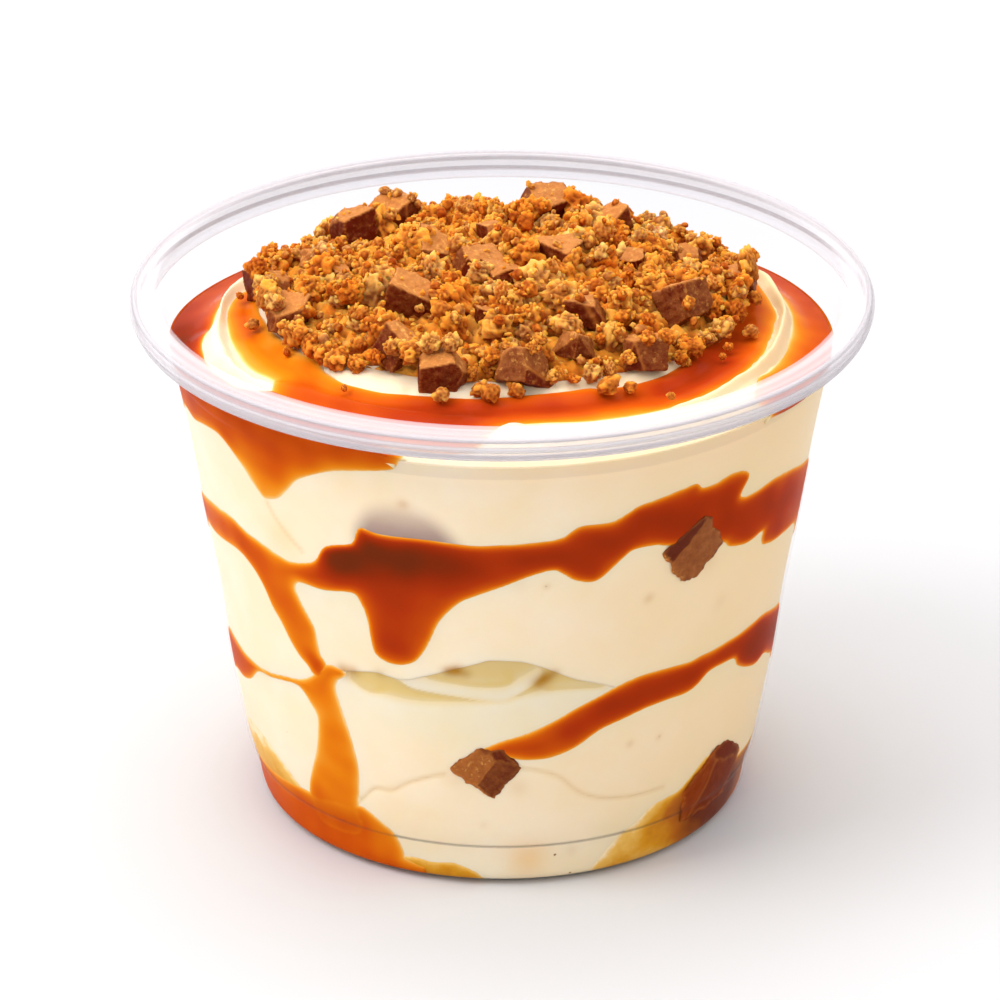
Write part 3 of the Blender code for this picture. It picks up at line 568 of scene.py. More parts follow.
SPONGE_STRIP = (
    (-29, -2), (-28.5, 1.6), (-25, 2.9), (-21, 3.4), (-16, 3.1), (-11, 3.3), (-7, 2.4), (-4.6, 1.2),
    (-3.5, -2),
)
# The outer ring of caramel: how far down the wall it has run, from 84 degrees round the back to -16.
RING_LOW = (
    (84, 63.4), (95, 62.0), (105, 61.2), (120, 60.6), (180, 58.4), (240, 55.0), (270, 53.0), (280, 56.5),
    (285, 57.5), (290, 57.6), (295, 58.5), (299, 59.0), (302, 59.0), (305, 58.0), (308, 56.3), (310, 54.8),
    (312, 53.5), (313.2, 53.0), (315, 53.3), (317, 54.0), (319, 55.3), (322, 57.6), (325, 59.0),
    (330, 60.7), (335, 61.6), (340, 62.4), (342, 63.0), (343.4, 65.2),
)

# ---------------------------------------------------------------------------------------------------------
# Cream
# ---------------------------------------------------------------------------------------------------------

TOUCHING = 0.10  # how far into the sheet the food reaches, in mm
WALL_MM = 0.66  # length of one degree on the wall, in mm
CURTAIN = 1.0  # the food that shows on the wall is this thick, in mm, before a layer runs inwards
LIP_BEHIND = 0.7  # how far up the lower cream goes on behind the lip, in mm
# The hollow under the middle cream, in front: where it starts, and the fold of cream that hangs in it.
HOLLOW_LOW = (
    (-34, 28.4), (-26, 27.2), (-18, 26.8), (-5, 27.8), (5, 28.8), (12, 29.6), (20, 29.2), (26, 29.0),
)
HOLLOW_FOLD = (
    (-23, 31.0), (-20.7, 30.6), (-17.7, 29.8), (-13.2, 29.5), (-8.6, 29.3), (-4.8, 29.1), (0, 29.0),
    (2.8, 29.8), (6.2, 31.2), (8.3, 32.6), (9.2, 33.6),
)
HOLLOW_WRINKLES = (((-14, 32.4), (-10.6, 32.0), (-5, 31.6), (0, 31.8), (1.6, 32.4), (1.2, 33.4)),
                   ((9, 30.8), (14, 30.6), (20, 30.2)), ((-31, 29.6), (-27, 28.6), (-23.5, 29.6), (-24, 31)))
# Creases where two dollops of cream meet, as (angle, height) points.
CREASES = (
    ((-34, 10.4), (-32, 11.0), (-28, 13.5), (-24, 13.8), (-20, 15.5), (-15, 17.0), (-12, 17.6)),
    ((-46.4, 52.6), (-44.6, 50.6), (-42, 48.8), (-39, 47.2)),
    ((4, 19.0), (8, 18.4), (12, 17.2), (16, 14.7), (20, 13.3), (25, 12.5), (30, 12.1), (37, 12.0)),
)

# The top, seen from above: (angle, radius) of the edges of the rings, in mm.
SWIRL_INNER = (
    (-150, 31.0), (-120, 31.4), (-94, 31.1), (-75, 29.7), (-65, 28.8), (-55, 28.1), (-44, 30.1),
    (-33, 30.0), (-20, 28.4), (-6, 27.8), (4, 26.9), (14, 26.6), (25, 26.8), (31, 28.2), (42, 28.7),
    (50, 28.6), (63, 26.9), (77, 26.4), (90, 28.5), (105, 30.4), (120, 31.0), (150, 30.6), (180, 30.4),
)
RIDGE_INNER = (
    (-150, 34.2), (-120, 33.6), (-108, 33.4), (-101, 34.6), (-93, 35.2), (-83, 35.2), (-73, 35.6),
    (-62, 36.3), (-56, 35.9), (-49, 34.6), (-30, 34.2), (0, 33.6), (8, 33.4), (20, 34.4), (40, 35.3),
    (52, 35.1), (66, 35.1), (83, 34.9), (91, 35.2), (100, 34.7), (107, 34.9), (120, 34.4), (150, 34.4),
    (180, 34.6),
)
RIDGE_OUTER = (
    (-150, 36.8), (-120, 35.7), (-114, 35.9), (-105, 36.4), (-96, 36.6), (-87, 36.9), (-82, 38.1),
    (-74, 39.1), (-67, 39.6), (-58, 39.4), (-49, 38.4), (-30, 37.6), (0, 37.6), (20, 38.2), (40, 37.7),
    (53, 37.1), (68, 37.0), (80, 36.8), (93, 37.1), (104, 37.2), (116, 36.7), (122, 36.3), (150, 37.0),
    (180, 37.4),
)
CREST = (
    (-150, 66.6), (-70, 66.9), (-58, 66.7), (-50, 66.2), (-42, 65.5), (-20, 65.3), (-4, 65.6), (6, 66.1),
    (30, 66.3), (50, 66.6), (110, 66.6), (180, 66.4),
)
CENTRE, SWIRL_EDGE, SWIRL_GROOVE, RIDGE_FOOT, RING_GROOVE = 67.4, 66.5, 65.2, 65.7, 64.7


def top_rings(angles, u, relief=1.0):
    """Radius and height of the piped top at each angle and ring number u, 0 in the middle and 8 at the wall.

    A cubic runs through nine circles: the axis, the flat middle, the swirl's edge and groove, the ridge's
    foot, crest and outer foot, the outer groove, and the wall. Soft noise and, in front, the beads that the
    nozzle leaves are added, at this share of their relief."""
    swirl, foot, outer = (round_the_wall(line, angles) for line in (SWIRL_INNER, RIDGE_INNER, RIDGE_OUTER))
    rim = round_the_wall(FOOD_TOP, angles)
    wall = inner_radius(rim) + TOUCHING
    crest = round_the_wall(CREST, angles)
    one = np.ones_like(angles)
    radius = [0 * one, swirl - 3.2, swirl, (swirl + foot) / 2, foot, (foot + outer) / 2, outer,
              (outer + wall) / 2, wall]
    groove = np.minimum(RING_GROOVE, rim + 0.6)
    height = [CENTRE * one, CENTRE * one, SWIRL_EDGE * one, SWIRL_GROOVE * one, RIDGE_FOOT * one, crest,
              (crest + groove) / 2, groove, rim]
    nodes = np.arange(9.0)
    r, z = (through(nodes, np.stack(rows, 1), u) for rows in (radius, height))
    x, y = r * np.sin(np.radians(angles))[:, None], -r * np.cos(np.radians(angles))[:, None]
    free = ramp(8 - u, 0, 1.2) * ramp(u, 0.5, 1.5)
    z = z + relief * free * (0.10 * waves(x, y, 7, 3) + 0.05 * waves(x, y, 2.6, 4))
    front = blob(angles[:, None], 0, -8, 0, 55)
    beads = np.sin(np.radians(angles)[:, None] * 34 + 1.4 * waves(x, y, 9, 5))
    return r, z + relief * 0.22 * beads * front * np.exp(-((u - 1.8) / 0.5) ** 2)


def wall_rows(low, high, count):
    """Heights of rows from one line to the other, with a row for each share of the way."""
    return low[:, None] + (high - low)[:, None] * np.linspace(0, 1, count)


def band_line(band, angles, side):
    """Height of a band's underside, side 1, or of its top, side 2, at each angle."""
    return round_the_wall([(row[0], row[side]) for row in band], angles)


def inside_rings(line, level):
    """(radius, height) of the rings of a layer's face, from the wall's curtain to near the middle.

    The face follows its line at the wall and levels out inwards."""
    reach = (inner_radius(line) - CURTAIN)[:, None]
    shares = np.array([1.0, 0.93, 0.8, 0.45])
    follows = np.array([1.0, 0.42, 0.12, 0.0])
    return reach * shares, level + (line - level)[:, None] * follows


def cream_section(angles, under, wall, over):
    """Radius and height from the axis along the underside, up the wall and back along the top to the axis."""
    zero = np.zeros((len(angles), 1))
    radius = [zero, under[0][:, ::-1], wall[0], over[0], zero]
    height = [under[1][:, -1:], under[1][:, ::-1], wall[1], over[1], over[1][:, -1:]]
    return np.concatenate(radius, 1), np.concatenate(height, 1)


def crease_depth(x, z):
    """How deep the creases are at each place of the wall: 1 on the line and falling off to both sides."""
    depth = np.zeros(np.shape(x))
    for crease in CREASES:
        path = smooth_outline(np.array(crease) * (WALL_MM, 1), closed=False)
        near = (z > path[:, 1].min() - 2) & (z < path[:, 1].max() + 2)
        distance, _ = to_segments(x[near], z[near], path, closed=False)
        depth[near] = np.maximum(depth[near], np.exp(-(distance / 0.34) ** 2))
    return depth


def hollow_depth(angles, z, lip):
    """How far the lower cream lies behind the wall under the lip: a slope inwards, a fold, and wrinkles.

    The slope starts at a line of its own. Above the fold's lower edge the fold takes its place, and the edge
    and the wrinkles are grooves that fall off to both sides."""
    low = through(*np.array(HOLLOW_LOW).T, angles)
    x = angles * WALL_MM
    opening = ramp(angles, -36, -28) * ramp(27 - angles, 0, 8)
    path = smooth_outline(np.array(HOLLOW_FOLD) * (WALL_MM, 1), closed=False)
    line = np.interp(x, path[:, 0], path[:, 1])
    distance, _ = to_segments(x, z, path, closed=False)
    slope = 0.62 * ramp(z, low - 0.6, low + 3.2)
    there = ramp(x, path[0, 0], path[0, 0] + 3) * ramp(path[-1, 0] - x, 0, 2)
    fold = 0.14 + 0.42 * ramp(z - line, 0.6, 4.4)
    depth = slope + (fold - slope) * there * ramp(distance, 0, 0.7) * (z > line)
    depth = depth + 0.10 * np.exp(-(distance / 0.40) ** 2)
    for wrinkle in HOLLOW_WRINKLES:
        path = smooth_outline(np.array(wrinkle) * (WALL_MM, 1), closed=False)
        distance, _ = to_segments(x, z, path, closed=False)
        depth = depth + 0.20 * np.exp(-(distance / 0.45) ** 2)
    return 0.26 * opening * depth * (z < lip + 1)


def make_cream_lower(angles):
    """The lower cream: everything from the floor to the lip or the lower caramel band.

    At the lip it goes on upwards a little way behind the middle cream, so that no gap shows there."""
    lip = round_the_wall(LOWER_PARTING, angles)
    behind = LIP_BEHIND * ramp(angles, -35, -31) * ramp(25 - angles, 0, 4)
    z = wall_rows(np.full(len(angles), FOOD_FLOOR), lip + behind, 86)
    a = np.broadcast_to(angles[:, None], z.shape)
    x = a * WALL_MM
    depth = 0.12 * crease_depth(x, z) + hollow_depth(a, z, lip[:, None])
    depth = depth + 0.15 * ramp(z - lip[:, None], 0, 0.12)
    wall = inner_radius(z) + TOUCHING - depth, z
    sponge = round_the_wall(SPONGE_TOP, angles)
    under = inside_rings(sponge, SPONGE_LEVEL)
    bottom = inner_radius(z[:, :1]) - CURTAIN, z[:, :1]
    under = np.concatenate([bottom[0], under[0]], 1), np.concatenate([bottom[1], under[1]], 1)
    over = inside_rings(np.minimum(band_line(LOWER_BAND, angles, 1), lip), LOWER_LEVELS[0])
    return cream_section(angles, under, wall, over)


def make_cream_middle(angles):
    """The middle cream, from the lip or the lower band to the middle band; over the hollow it is rounded."""
    lip = round_the_wall(LOWER_PARTING, angles)
    top = round_the_wall(UPPER_PARTING, angles)
    z = wall_rows(lip, top, 64)
    a = np.broadcast_to(angles[:, None], z.shape)
    above = z - lip[:, None]
    in_front = ramp(a, -34, -30) * ramp(24 - a, 0, 4)
    rounded = in_front * 0.04 * np.clip(1 - above / 0.7, 0, 1) ** 2
    wall = inner_radius(z) + TOUCHING - rounded, z
    under = inside_rings(np.maximum(band_line(LOWER_BAND, angles, 2), lip), LOWER_LEVELS[1])
    over = inside_rings(np.minimum(band_line(MIDDLE_BAND, angles, 1), top), MIDDLE_LEVELS[0])
    return cream_section(angles, under, wall, over)


def make_cream_upper(angles):
    """The upper cream, from the middle band up the wall and over the piped top."""
    low = round_the_wall(UPPER_PARTING, angles)
    rim = round_the_wall(FOOD_TOP, angles)
    z = wall_rows(low, rim, 44)[:, :-1]
    wall = inner_radius(z) + TOUCHING, z
    under = inside_rings(np.maximum(band_line(MIDDLE_BAND, angles, 2), low), MIDDLE_LEVELS[1])
    u = np.concatenate([np.linspace(8, 1.4, 96), np.linspace(1.1, 0.25, 5)])
    return cream_section(angles, under, wall, top_rings(angles, u))


# Spots where caramel or crumb has coloured the cream: (angle, height, reach in mm, amount).
STAINS = (
    (-10.4, 33.4, 0.8, 0.7), (-8.6, 33.6, 0.9, 0.9), (-6.8, 33.2, 0.7, 0.4), (7.0, 31.8, 1.0, 0.7),
    (8.6, 32.6, 1.0, 0.8), (10.2, 33.2, 0.7, 0.4), (-32.6, 30.6, 1.1, 0.7), (-30.2, 30.9, 0.9, 0.5),
    (-24.4, 31.6, 0.8, 0.3), (-9.6, 17.2, 1.5, 0.12), (3.6, 16.0, 1.4, 0.16), (41, 45.0, 1.6, 0.12),
    (16, 5.0, 1.0, 0.14), (28, 42.4, 0.7, 0.3), (8, 46.4, 0.5, 0.25), (3, 47, 1.4, 0.08),
    (-17, 57.8, 0.7, 0.35), (27, 20.6, 0.6, 0.25), (34, 20.4, 0.5, 0.25), (-4, 10, 0.6, 0.12),
    (46, 38, 1.2, 0.1),
)


# The film of cream over the chunk at the left, as (angle, height) points.
FILM = (
    (-27.5, 51), (-26.6, 54.6), (-23.6, 57.2), (-18, 58.2), (-12.4, 57.2), (-8.4, 54.6), (-6.6, 51.4),
    (-12, 50), (-22, 50),
)


def cream_attributes(radius, height, angles):
    """What tints the cream, each from 0 to 1.

    veil is a film over dark chocolate, warm is where caramel shines through, hollow is painted shade that
    grows with how far the cream lies behind the wall, the creases get painted shade too, and stain is in the
    spots."""
    a = np.broadcast_to(angles[:, None], radius.shape)
    x = a * WALL_MM
    film = smooth_outline(np.array(FILM) * (WALL_MM, 1))
    near = (np.abs(x + 11.5) < 12) & (height > 46) & (height < 62)
    veil = np.zeros(radius.shape)
    fade = 0.4 + 0.6 * ramp(57.5 - height[near], 0, 5)
    veil[near] = ramp(inside_by(x[near], height[near], film), -0.6, 2.4) * fade
    warm = 0.2 * blob(x, height, -44 * WALL_MM, 48.3, 2.6) + 0.5 * blob(x, height, 6 * WALL_MM, 4, 3)
    behind = inner_radius(np.clip(height, 1, 66)) + TOUCHING - radius
    # Painted shade: the farther the cream lies behind the wall in the hollow, the darker and yellower it is
    # painted.
    hollow = ramp(behind, 0.015, 0.17) * (height < 36.5) * (height > 26) * (radius > 32)
    on_wall = (radius > 29) & (height < 60)
    # Painted shade along the creases where two dollops of cream meet.
    crease_shade, stain = np.zeros(radius.shape), np.zeros(radius.shape)
    crease_shade[on_wall] = crease_depth(x[on_wall], height[on_wall])
    for angle, level, reach, amount in STAINS:
        stain = stain + amount * blob(x, height, angle * WALL_MM, level, reach) * on_wall
    return {"veil": veil, "warm": warm, "hollow": hollow, "crease_shade": crease_shade, "stain": np.minimum(stain, 1)}


def cream_material():
    """Whipped mascarpone cream: a smooth, slightly shiny, warm white in which light spreads.

    Against the wall it is wetted and flat. Over caramel it looks more yellow. Its hollows and its creases are
    painted darker and more yellow as painted shade, and towards the right, away from the key light, it is
    painted darker and yellower as painted shade."""
    material = new_material("mascarpone_cream")
    tree = material[1]
    patches = noise(tree, 9, detail=2)
    colour = colour_ramp(tree, patches, ((0.3, "#F7E0BA"), (0.7, "#FAE7CA")))
    place = add_node(tree, "ShaderNodeTexCoord").outputs["Object"]
    across = add_node(tree, "ShaderNodeSeparateXYZ", Vector=place).outputs["X"]
    # Painted shade: towards the right, away from the key light, the cream is mixed to a darker, yellower
    # colour.
    right = add_node(tree, "ShaderNodeMapRange", {"interpolation_type": "SMOOTHSTEP"},
                     {"From Min": -5 * MM, "From Max": 42 * MM, "To Max": 0.85}, Value=across).outputs[0]
    colour = mix_colour(tree, right, colour, "#EECD98")
    # Painted shade in the hollow and along the creases: the cream there is mixed to a darker, yellower
    # colour.
    colour = mix_colour(tree, attribute(tree, "hollow"), colour, "#F6CB7C")
    colour = mix_colour(tree, math_node(tree, "MULTIPLY", attribute(tree, "crease_shade"), 0.5), colour, "#DDBB82")
    colour = mix_colour(tree, attribute(tree, "warm"), colour, "#F0B455")
    colour = mix_colour(tree, attribute(tree, "veil"), colour, "#A78C82")
    colour = mix_colour(tree, attribute(tree, "stain"), colour, "#BE7C14")
    look = {"Roughness": 0.42, "Specular IOR Level": 0.12, "Subsurface Weight": 0.3,
            "Subsurface Scale": 0.003, "Subsurface Radius": (1.0, 0.62, 0.34)}
    grain = bump(tree, noise(tree, 1.6, detail=4), 0.03)
    return principled(material, look, Base__Color=colour, Normal=grain)


def make_cream_piece(name, section, angles):
    """A layer of cream from its section at each angle."""
    radius, height = section
    points = at_angle(angles[:, None], radius, height)
    return turned_body(name, points, cream_attributes(radius, height, angles))


# ---------------------------------------------------------------------------------------------------------
# Caramel
# ---------------------------------------------------------------------------------------------------------

# Where a sauce is deeper (+) or thinner (-) than the rest: (angle, height, reach in mm, amount).
MIDDLE_SPOTS = (
    (-68, 43.5, 8, -0.14), (-46, 42, 4.5, -0.19), (-44, 34, 5, -0.22), (-33, 47.6, 3.2, 0.3),
    (-28, 49.0, 3.6, 0.26), (-22, 49.6, 4.4, 0.24), (-15, 50.2, 4.4, 0.24), (-9, 50.4, 3.4, 0.18),
    (-20, 37, 5, 0.06), (6, 50.5, 7, 0.16), (20, 51.5, 6, 0.08), (31, 54, 6, 0.14), (46, 51, 6, 0.12),
    (62, 47.5, 7, 0.12), (80, 45, 8, -0.04),
)
LOWER_SPOTS = (
    (322, 24, 5, -0.25), (322, 16, 6, -0.27), (320, 9, 6, -0.22), (324, 29, 4, -0.10), (300, 24, 8, -0.05),
    (8, 22.5, 4, -0.06), (20, 26, 6, 0.12), (35, 28, 7, 0.14), (50, 29, 6, 0.10), (62, 27, 6, 0.22),
    (78, 25, 8, 0.2),
)
POOL_SPOTS = (
    (300, 4, 8, -0.08), (322, 5, 6, -0.10), (333, 4, 4, -0.16), (52, 2, 9, 0.3), (70, 3, 10, 0.4),
)
RING_SPOTS = (
    (278, 2.4, 12, 0.3), (302, 4, 8, 0.16), (60, 2, 8, -0.08), (84, 3, 12, -0.12), (250, 3, 14, -0.04),
)
RUN_SPOTS = (
    (312, 55.4, 4.0, -0.26), (306, 59, 6, -0.04), (290, 59, 7, 0.02), (328, 61.5, 6, -0.06),
)
SWIRL_SPOTS = (
    (-18, 31, 6, 0.12), (-6, 31, 6, 0.22), (12, 30.5, 5, 0.18), (-62, 33, 9, -0.2), (56, 31, 7, 0.24),
    (40, 31, 6, 0.16),
)
SPONGE_SPOTS = (
    (39, 8, 3.0, 0.15), (46, 9, 3.6, 0.4), (50, 5, 5, 0.3), (56, 9, 6, 0.5), (60, 3, 7, 0.5),
    (74, 6, 9, 0.5), (290, 11, 8, -0.12), (300, 4, 6, 0.15),
)
RING_AMOUNT, SWIRL_AMOUNT = 0.5, 0.4  # how deep the two rings look away from their edges
PROUD = 0.12  # how far caramel on the wall stands out from the cream, in mm
RING_STEP = 0.72  # mm on the wall for each degree, up at the ring
SWIRL_STEP = 0.55  # mm along the swirl for each degree
FLOOD_RADIUS = 40.6  # how far out the swirl reaches where it floods over the ridge, in mm
RING_LIFT, SWIRL_LIFT = 0.85, 0.95  # how far the faces of the two rings stand above the cream, in mm


def sauce_depth(inside, amount, spots, x, z, scale=1.0, reach=1.2, edge=0.16):
    """How deep the sauce looks: nothing at its edge, most of it within 2 mm, and with its own spots."""
    inward = np.maximum(inside, 0)
    thin = 1 - np.exp(-inward / 0.3)
    depth = amount * (1 - np.exp(-inward / reach)) + edge * thin
    for angle, height, spread, change in spots:
        depth = depth + change * thin * blob(x, z, angle * scale, height, spread)
    return np.clip(depth + 0.02 * thin * waves(x, z, 5, 21), 0, 1)


def wall_sauce(name, outline, low, high, span, proud, amount, spots=(), **soft):
    """A skin on the wall inside the outline. high is a height, or a function of the angles that gives it.

    Its face stands out from the cream by a slope that starts at the outline and ends this proud."""
    start, end = span
    wrap = end - start >= 360
    angles = wall_angles(start, end)
    top = high(angles) if callable(high) else np.full(len(angles), float(high))
    z = wall_rows(np.full(len(angles), float(low)), top, round((top.max() - low) / 0.38) + 1)
    a = np.broadcast_to(angles[:, None], z.shape)
    x = a * WALL_MM
    inside = inside_by(x, z, smooth_outline(np.array(outline) * (WALL_MM, 1)))
    face = inner_radius(z) + TOUCHING + np.clip(0.35 * inside, -0.6, proud)
    attributes = {"depth": sauce_depth(inside, amount, spots, x, z, WALL_MM, **soft)}
    outer, inner = at_angle(a, face, z), at_angle(a, face - CURTAIN, z)
    return shell_between(name, outer, inner, cells_near(inside, -1.0, wrap), wrap, attributes)


def sauce_disc(name, band, levels, angles):
    """The band's own layer inside the cup, between its underside and its top."""
    under = inside_rings(band_line(band, angles, 1) + 0.05, levels[0] + 0.05)
    over = inside_rings(band_line(band, angles, 2) - 0.05, levels[1] - 0.05)
    zero = np.zeros((len(angles), 1))
    radius = np.concatenate([zero, under[0][:, ::-1], over[0], zero], 1)
    height = np.concatenate([under[1][:, -1:], under[1][:, ::-1], over[1], over[1][:, -1:]], 1)
    height = np.where(radius > 0, height, np.where(np.arange(height.shape[1]) == 0, levels[0], levels[1]))
    points = at_angle(angles[:, None], radius, height)
    return turned_body(name, points, {"depth": np.ones(radius.shape)})


def one_piece(*pieces):
    """Joins closed bodies of the same piece into its first."""
    mesh = bmesh.new()
    for piece in pieces:
        mesh.from_mesh(piece.data)
    mesh.to_mesh(pieces[0].data)
    mesh.free()
    for piece in pieces[1:]:
        spare = piece.data
        bpy.data.objects.remove(piece)
        bpy.data.meshes.remove(spare)
    return pieces[0]


def plan_outline(inner, outer):
    """A closed outline in plan from (angle, radius) points of its inner and outer edge."""
    edge = np.concatenate([np.array(inner, float), np.array(outer, float)[::-1]])
    turn = np.radians(edge[:, 0])
    return smooth_outline(np.stack([edge[:, 1] * np.sin(turn), -edge[:, 1] * np.cos(turn)], 1), steps=4)


def swirl_outline():
    """The swirl between the piped middle and the ridge; in front at the left it floods over the ridge."""
    angles = np.concatenate([[-113], np.arange(-108, 121, 6.0), [125]])
    inner = round_the_wall(SWIRL_INNER, angles)
    outer = round_the_wall(RIDGE_INNER, angles)
    flood = ramp(angles, -54, -44) * ramp(2 - angles, 0, 10)
    outer = outer + flood * (FLOOD_RADIUS - outer)
    width = np.clip(np.minimum(angles + 116, 128 - angles) / 14, 0.12, 1)
    middle = (inner + outer) / 2
    inner, outer = middle + (inner - middle) * width, middle + (outer - middle) * width
    return plan_outline(np.stack([angles, inner], 1), np.stack([angles, outer], 1))


def lies_on(inside, thickness):
    """How far a sauce's face is above what it lies on.

    It is a bead, steep at its edge and flat in the middle; outside the edge it dips under the surface."""
    bead = thickness * (1 - np.exp(-np.maximum(inside, 0) / 0.9))
    return np.where(inside > 0, bead, np.maximum(0.6 * inside, -0.6))


def make_swirl(angles):
    """The caramel swirl, on the same rings as the cream under it."""
    u = np.linspace(0.9, 7.9, 120)
    radius, height = top_rings(angles, u, relief=0.0)
    turn = np.radians(angles)[:, None]
    x, y = radius * np.sin(turn), -radius * np.cos(turn)
    inside = inside_by(x, y, swirl_outline())
    face = height + lies_on(inside, SWIRL_LIFT)
    depth = sauce_depth(inside, SWIRL_AMOUNT, (), x, y, reach=1.9, edge=0.18)
    around = np.broadcast_to(angles[:, None] * SWIRL_STEP, x.shape)
    for angle, r, reach, change in SWIRL_SPOTS:
        depth = depth + (inside > 0) * change * blob(around, radius, angle * SWIRL_STEP, r, reach)
    outer = np.stack([x, y, face], -1)
    inner = np.stack([x, y, np.minimum(height, face) - 0.5], -1)
    wanted = cells_near(inside, -0.8, True)
    return shell_between("caramel_swirl_sauce", outer, inner, wanted, True, {"depth": np.clip(depth, 0, 1)})


def turned_back(angles):
    """Angles brought to -180..180."""
    return (angles + 180) % 360 - 180


def ring_top(angles):
    """Height of the caramel ring's face where it meets the wall; at its ends it is level with the cream."""
    full = np.clip(np.minimum(angles - 84, 344.5 - angles) / 5, -0.1, 0.98)
    return round_the_wall(FOOD_TOP, turned_back(angles)) + RING_LIFT * full


def make_ring():
    """The outer ring of caramel, from the ridge over the outer groove to the wall.

    Its outline is measured along the angle and along the way in from the wall."""
    span = np.arange(52, 344.1, 6.0)
    wall = inner_radius(round_the_wall(FOOD_TOP, turned_back(span)))
    up = wall - round_the_wall(RIDGE_OUTER, turned_back(span)) + ramp(span, 306, 316) * 3.5
    up = up * np.clip(np.minimum((span - 46) / 12, (346 - span) / 8), 0.1, 1)
    beyond = np.stack([span * RING_STEP, 0 * up - 4], 1)
    edge = np.concatenate([beyond, np.stack([span * RING_STEP, up], 1)[::-1]])
    angles = wall_angles(48, 350)
    u = np.linspace(5.0, 8.0, 34)
    radius, height = top_rings(turned_back(angles), u, relief=0.0)
    x = np.broadcast_to(angles[:, None] * RING_STEP, radius.shape)
    inwards = radius[:, -1:] - radius
    inside = inside_by(x, inwards, smooth_outline(edge, steps=4))
    face = height + lies_on(inside, RING_LIFT)
    depth = sauce_depth(inside, RING_AMOUNT, RING_SPOTS, x, inwards, RING_STEP, reach=1.9, edge=0.18)
    wanted = cells_near(inside, -0.9, False)
    outer = at_angle(angles[:, None], radius + 0.03 * ramp(u, 7.6, 8) * ramp(inside, 0, 1.5), face)
    inner = at_angle(angles[:, None], radius, np.minimum(height, face) - 0.5)
    return shell_between("caramel_ring_sauce", outer, inner, wanted, False, {"depth": depth})


def make_run_down():
    """Where the outer ring has run down the wall."""
    low = np.array(RING_LOW, float)
    top = np.stack([low[:, 0], round_the_wall(FOOD_TOP, turned_back(low[:, 0])) + 4], 1)
    outline = np.concatenate([low, top[::-1]])
    return wall_sauce("caramel_run_down", outline, 51.0, ring_top, (80, 347), PROUD, 0.40, RUN_SPOTS)


def caramel_material(name, gloss):
    """Caramel sauce: a clear brown syrup. Thin it is bright orange, deep it is dark red.

    Where air meets it, it is always glossy; against the wall its own gloss is gone."""
    material = new_material(name)
    tree = material[1]
    streaks = math_node(tree, "MULTIPLY", math_node(tree, "SUBTRACT", noise(tree, 7, 2), 0.5), 0.06)
    depth = math_node(tree, "ADD", attribute(tree, "depth"), streaks, clamp=True)
    colour = colour_ramp(tree, depth, (
        (0.0, "#F7DFAE"), (0.05, "#F2BE70"), (0.13, "#EA9A30"), (0.26, "#E27C12"), (0.45, "#CC530D"),
        (0.66, "#AC340E"), (0.84, "#8E2A0C"), (1.0, "#6C2A10"),
    ))
    look = {"Subsurface Weight": 0.12, "Subsurface Scale": 0.001, "Subsurface Radius": (1.0, 0.35, 0.08)}
    return principled(material, {**look, **gloss}, Base__Color=colour)


# ---------------------------------------------------------------------------------------------------------
# Sponge
# ---------------------------------------------------------------------------------------------------------


def sponge_material():
    """Sponge fingers soaked in coffee and caramel: a porous yellow crumb, brown where they are wettest."""
    material = new_material("soaked_sponge")
    tree = material[1]
    crumb = noise(tree, 1.8, 4, 0.6)
    wet = math_node(tree, "ADD", attribute(tree, "depth"),
                    math_node(tree, "MULTIPLY", math_node(tree, "SUBTRACT", crumb, 0.5), 0.3), clamp=True)
    colour = colour_ramp(tree, wet, (
        (0.0, "#F6DDB0"), (0.08, "#EDBC5E"), (0.28, "#D9951E"), (0.5, "#B8650F"), (1.0, "#6A2606"),
    ))
    look = {"Roughness": 0.5, "Specular IOR Level": 0.05}
    return principled(material, look, Base__Color=colour, Normal=bump(tree, crumb, 0.12))


def make_sponge(angles):
    """The sponge: what shows of it on the wall at the left, in the front and at the right, and its layer."""
    round_back = wall_sauce("soaked_sponge", SPONGE_OUTLINE, 0.5, 14.6, (16, 315), 0.05, 0.3, SPONGE_SPOTS,
                            reach=2.6, edge=0.0)
    strip = wall_sauce("sponge_strip", SPONGE_STRIP, 0.5, 4.4, (-34, 2), 0.05, 0.26)
    band = [(angle, 1.2, max(height - 0.3, 1.8)) for angle, height in SPONGE_TOP]
    return one_piece(round_back, strip, sauce_disc("sponge_layer", band, (1.2, 8.8), angles))


# ---------------------------------------------------------------------------------------------------------
# Crumbs and chocolate
# ---------------------------------------------------------------------------------------------------------


def ball(subdivisions):
    """Unit directions and triangles of a ball."""
    solid, mesh = bmesh.new(), bpy.data.meshes.new("ball")
    bmesh.ops.create_icosphere(solid, subdivisions=subdivisions, radius=1)
    solid.to_mesh(mesh)
    solid.free()
    directions, corners = np.empty(len(mesh.vertices) * 3), np.empty(len(mesh.loops), np.int32)
    mesh.vertices.foreach_get("co", directions)
    mesh.loops.foreach_get("vertex_index", corners)
    bpy.data.meshes.remove(mesh)
    return directions.reshape(-1, 3), corners.reshape(-1, 3)


def random_turn(chance):
    """A rotation matrix, any at all, from a random unit quaternion."""
    w, x, y, z = (q := chance.normal(size=4)) / np.linalg.norm(q)
    return np.array((
        (1 - 2 * (y * y + z * z), 2 * (x * y - z * w), 2 * (x * z + y * w)),
        (2 * (x * y + z * w), 1 - 2 * (x * x + z * z), 2 * (y * z - x * w)),
        (2 * (x * z - y * w), 2 * (y * z + x * w), 1 - 2 * (x * x + y * y)),
    ))


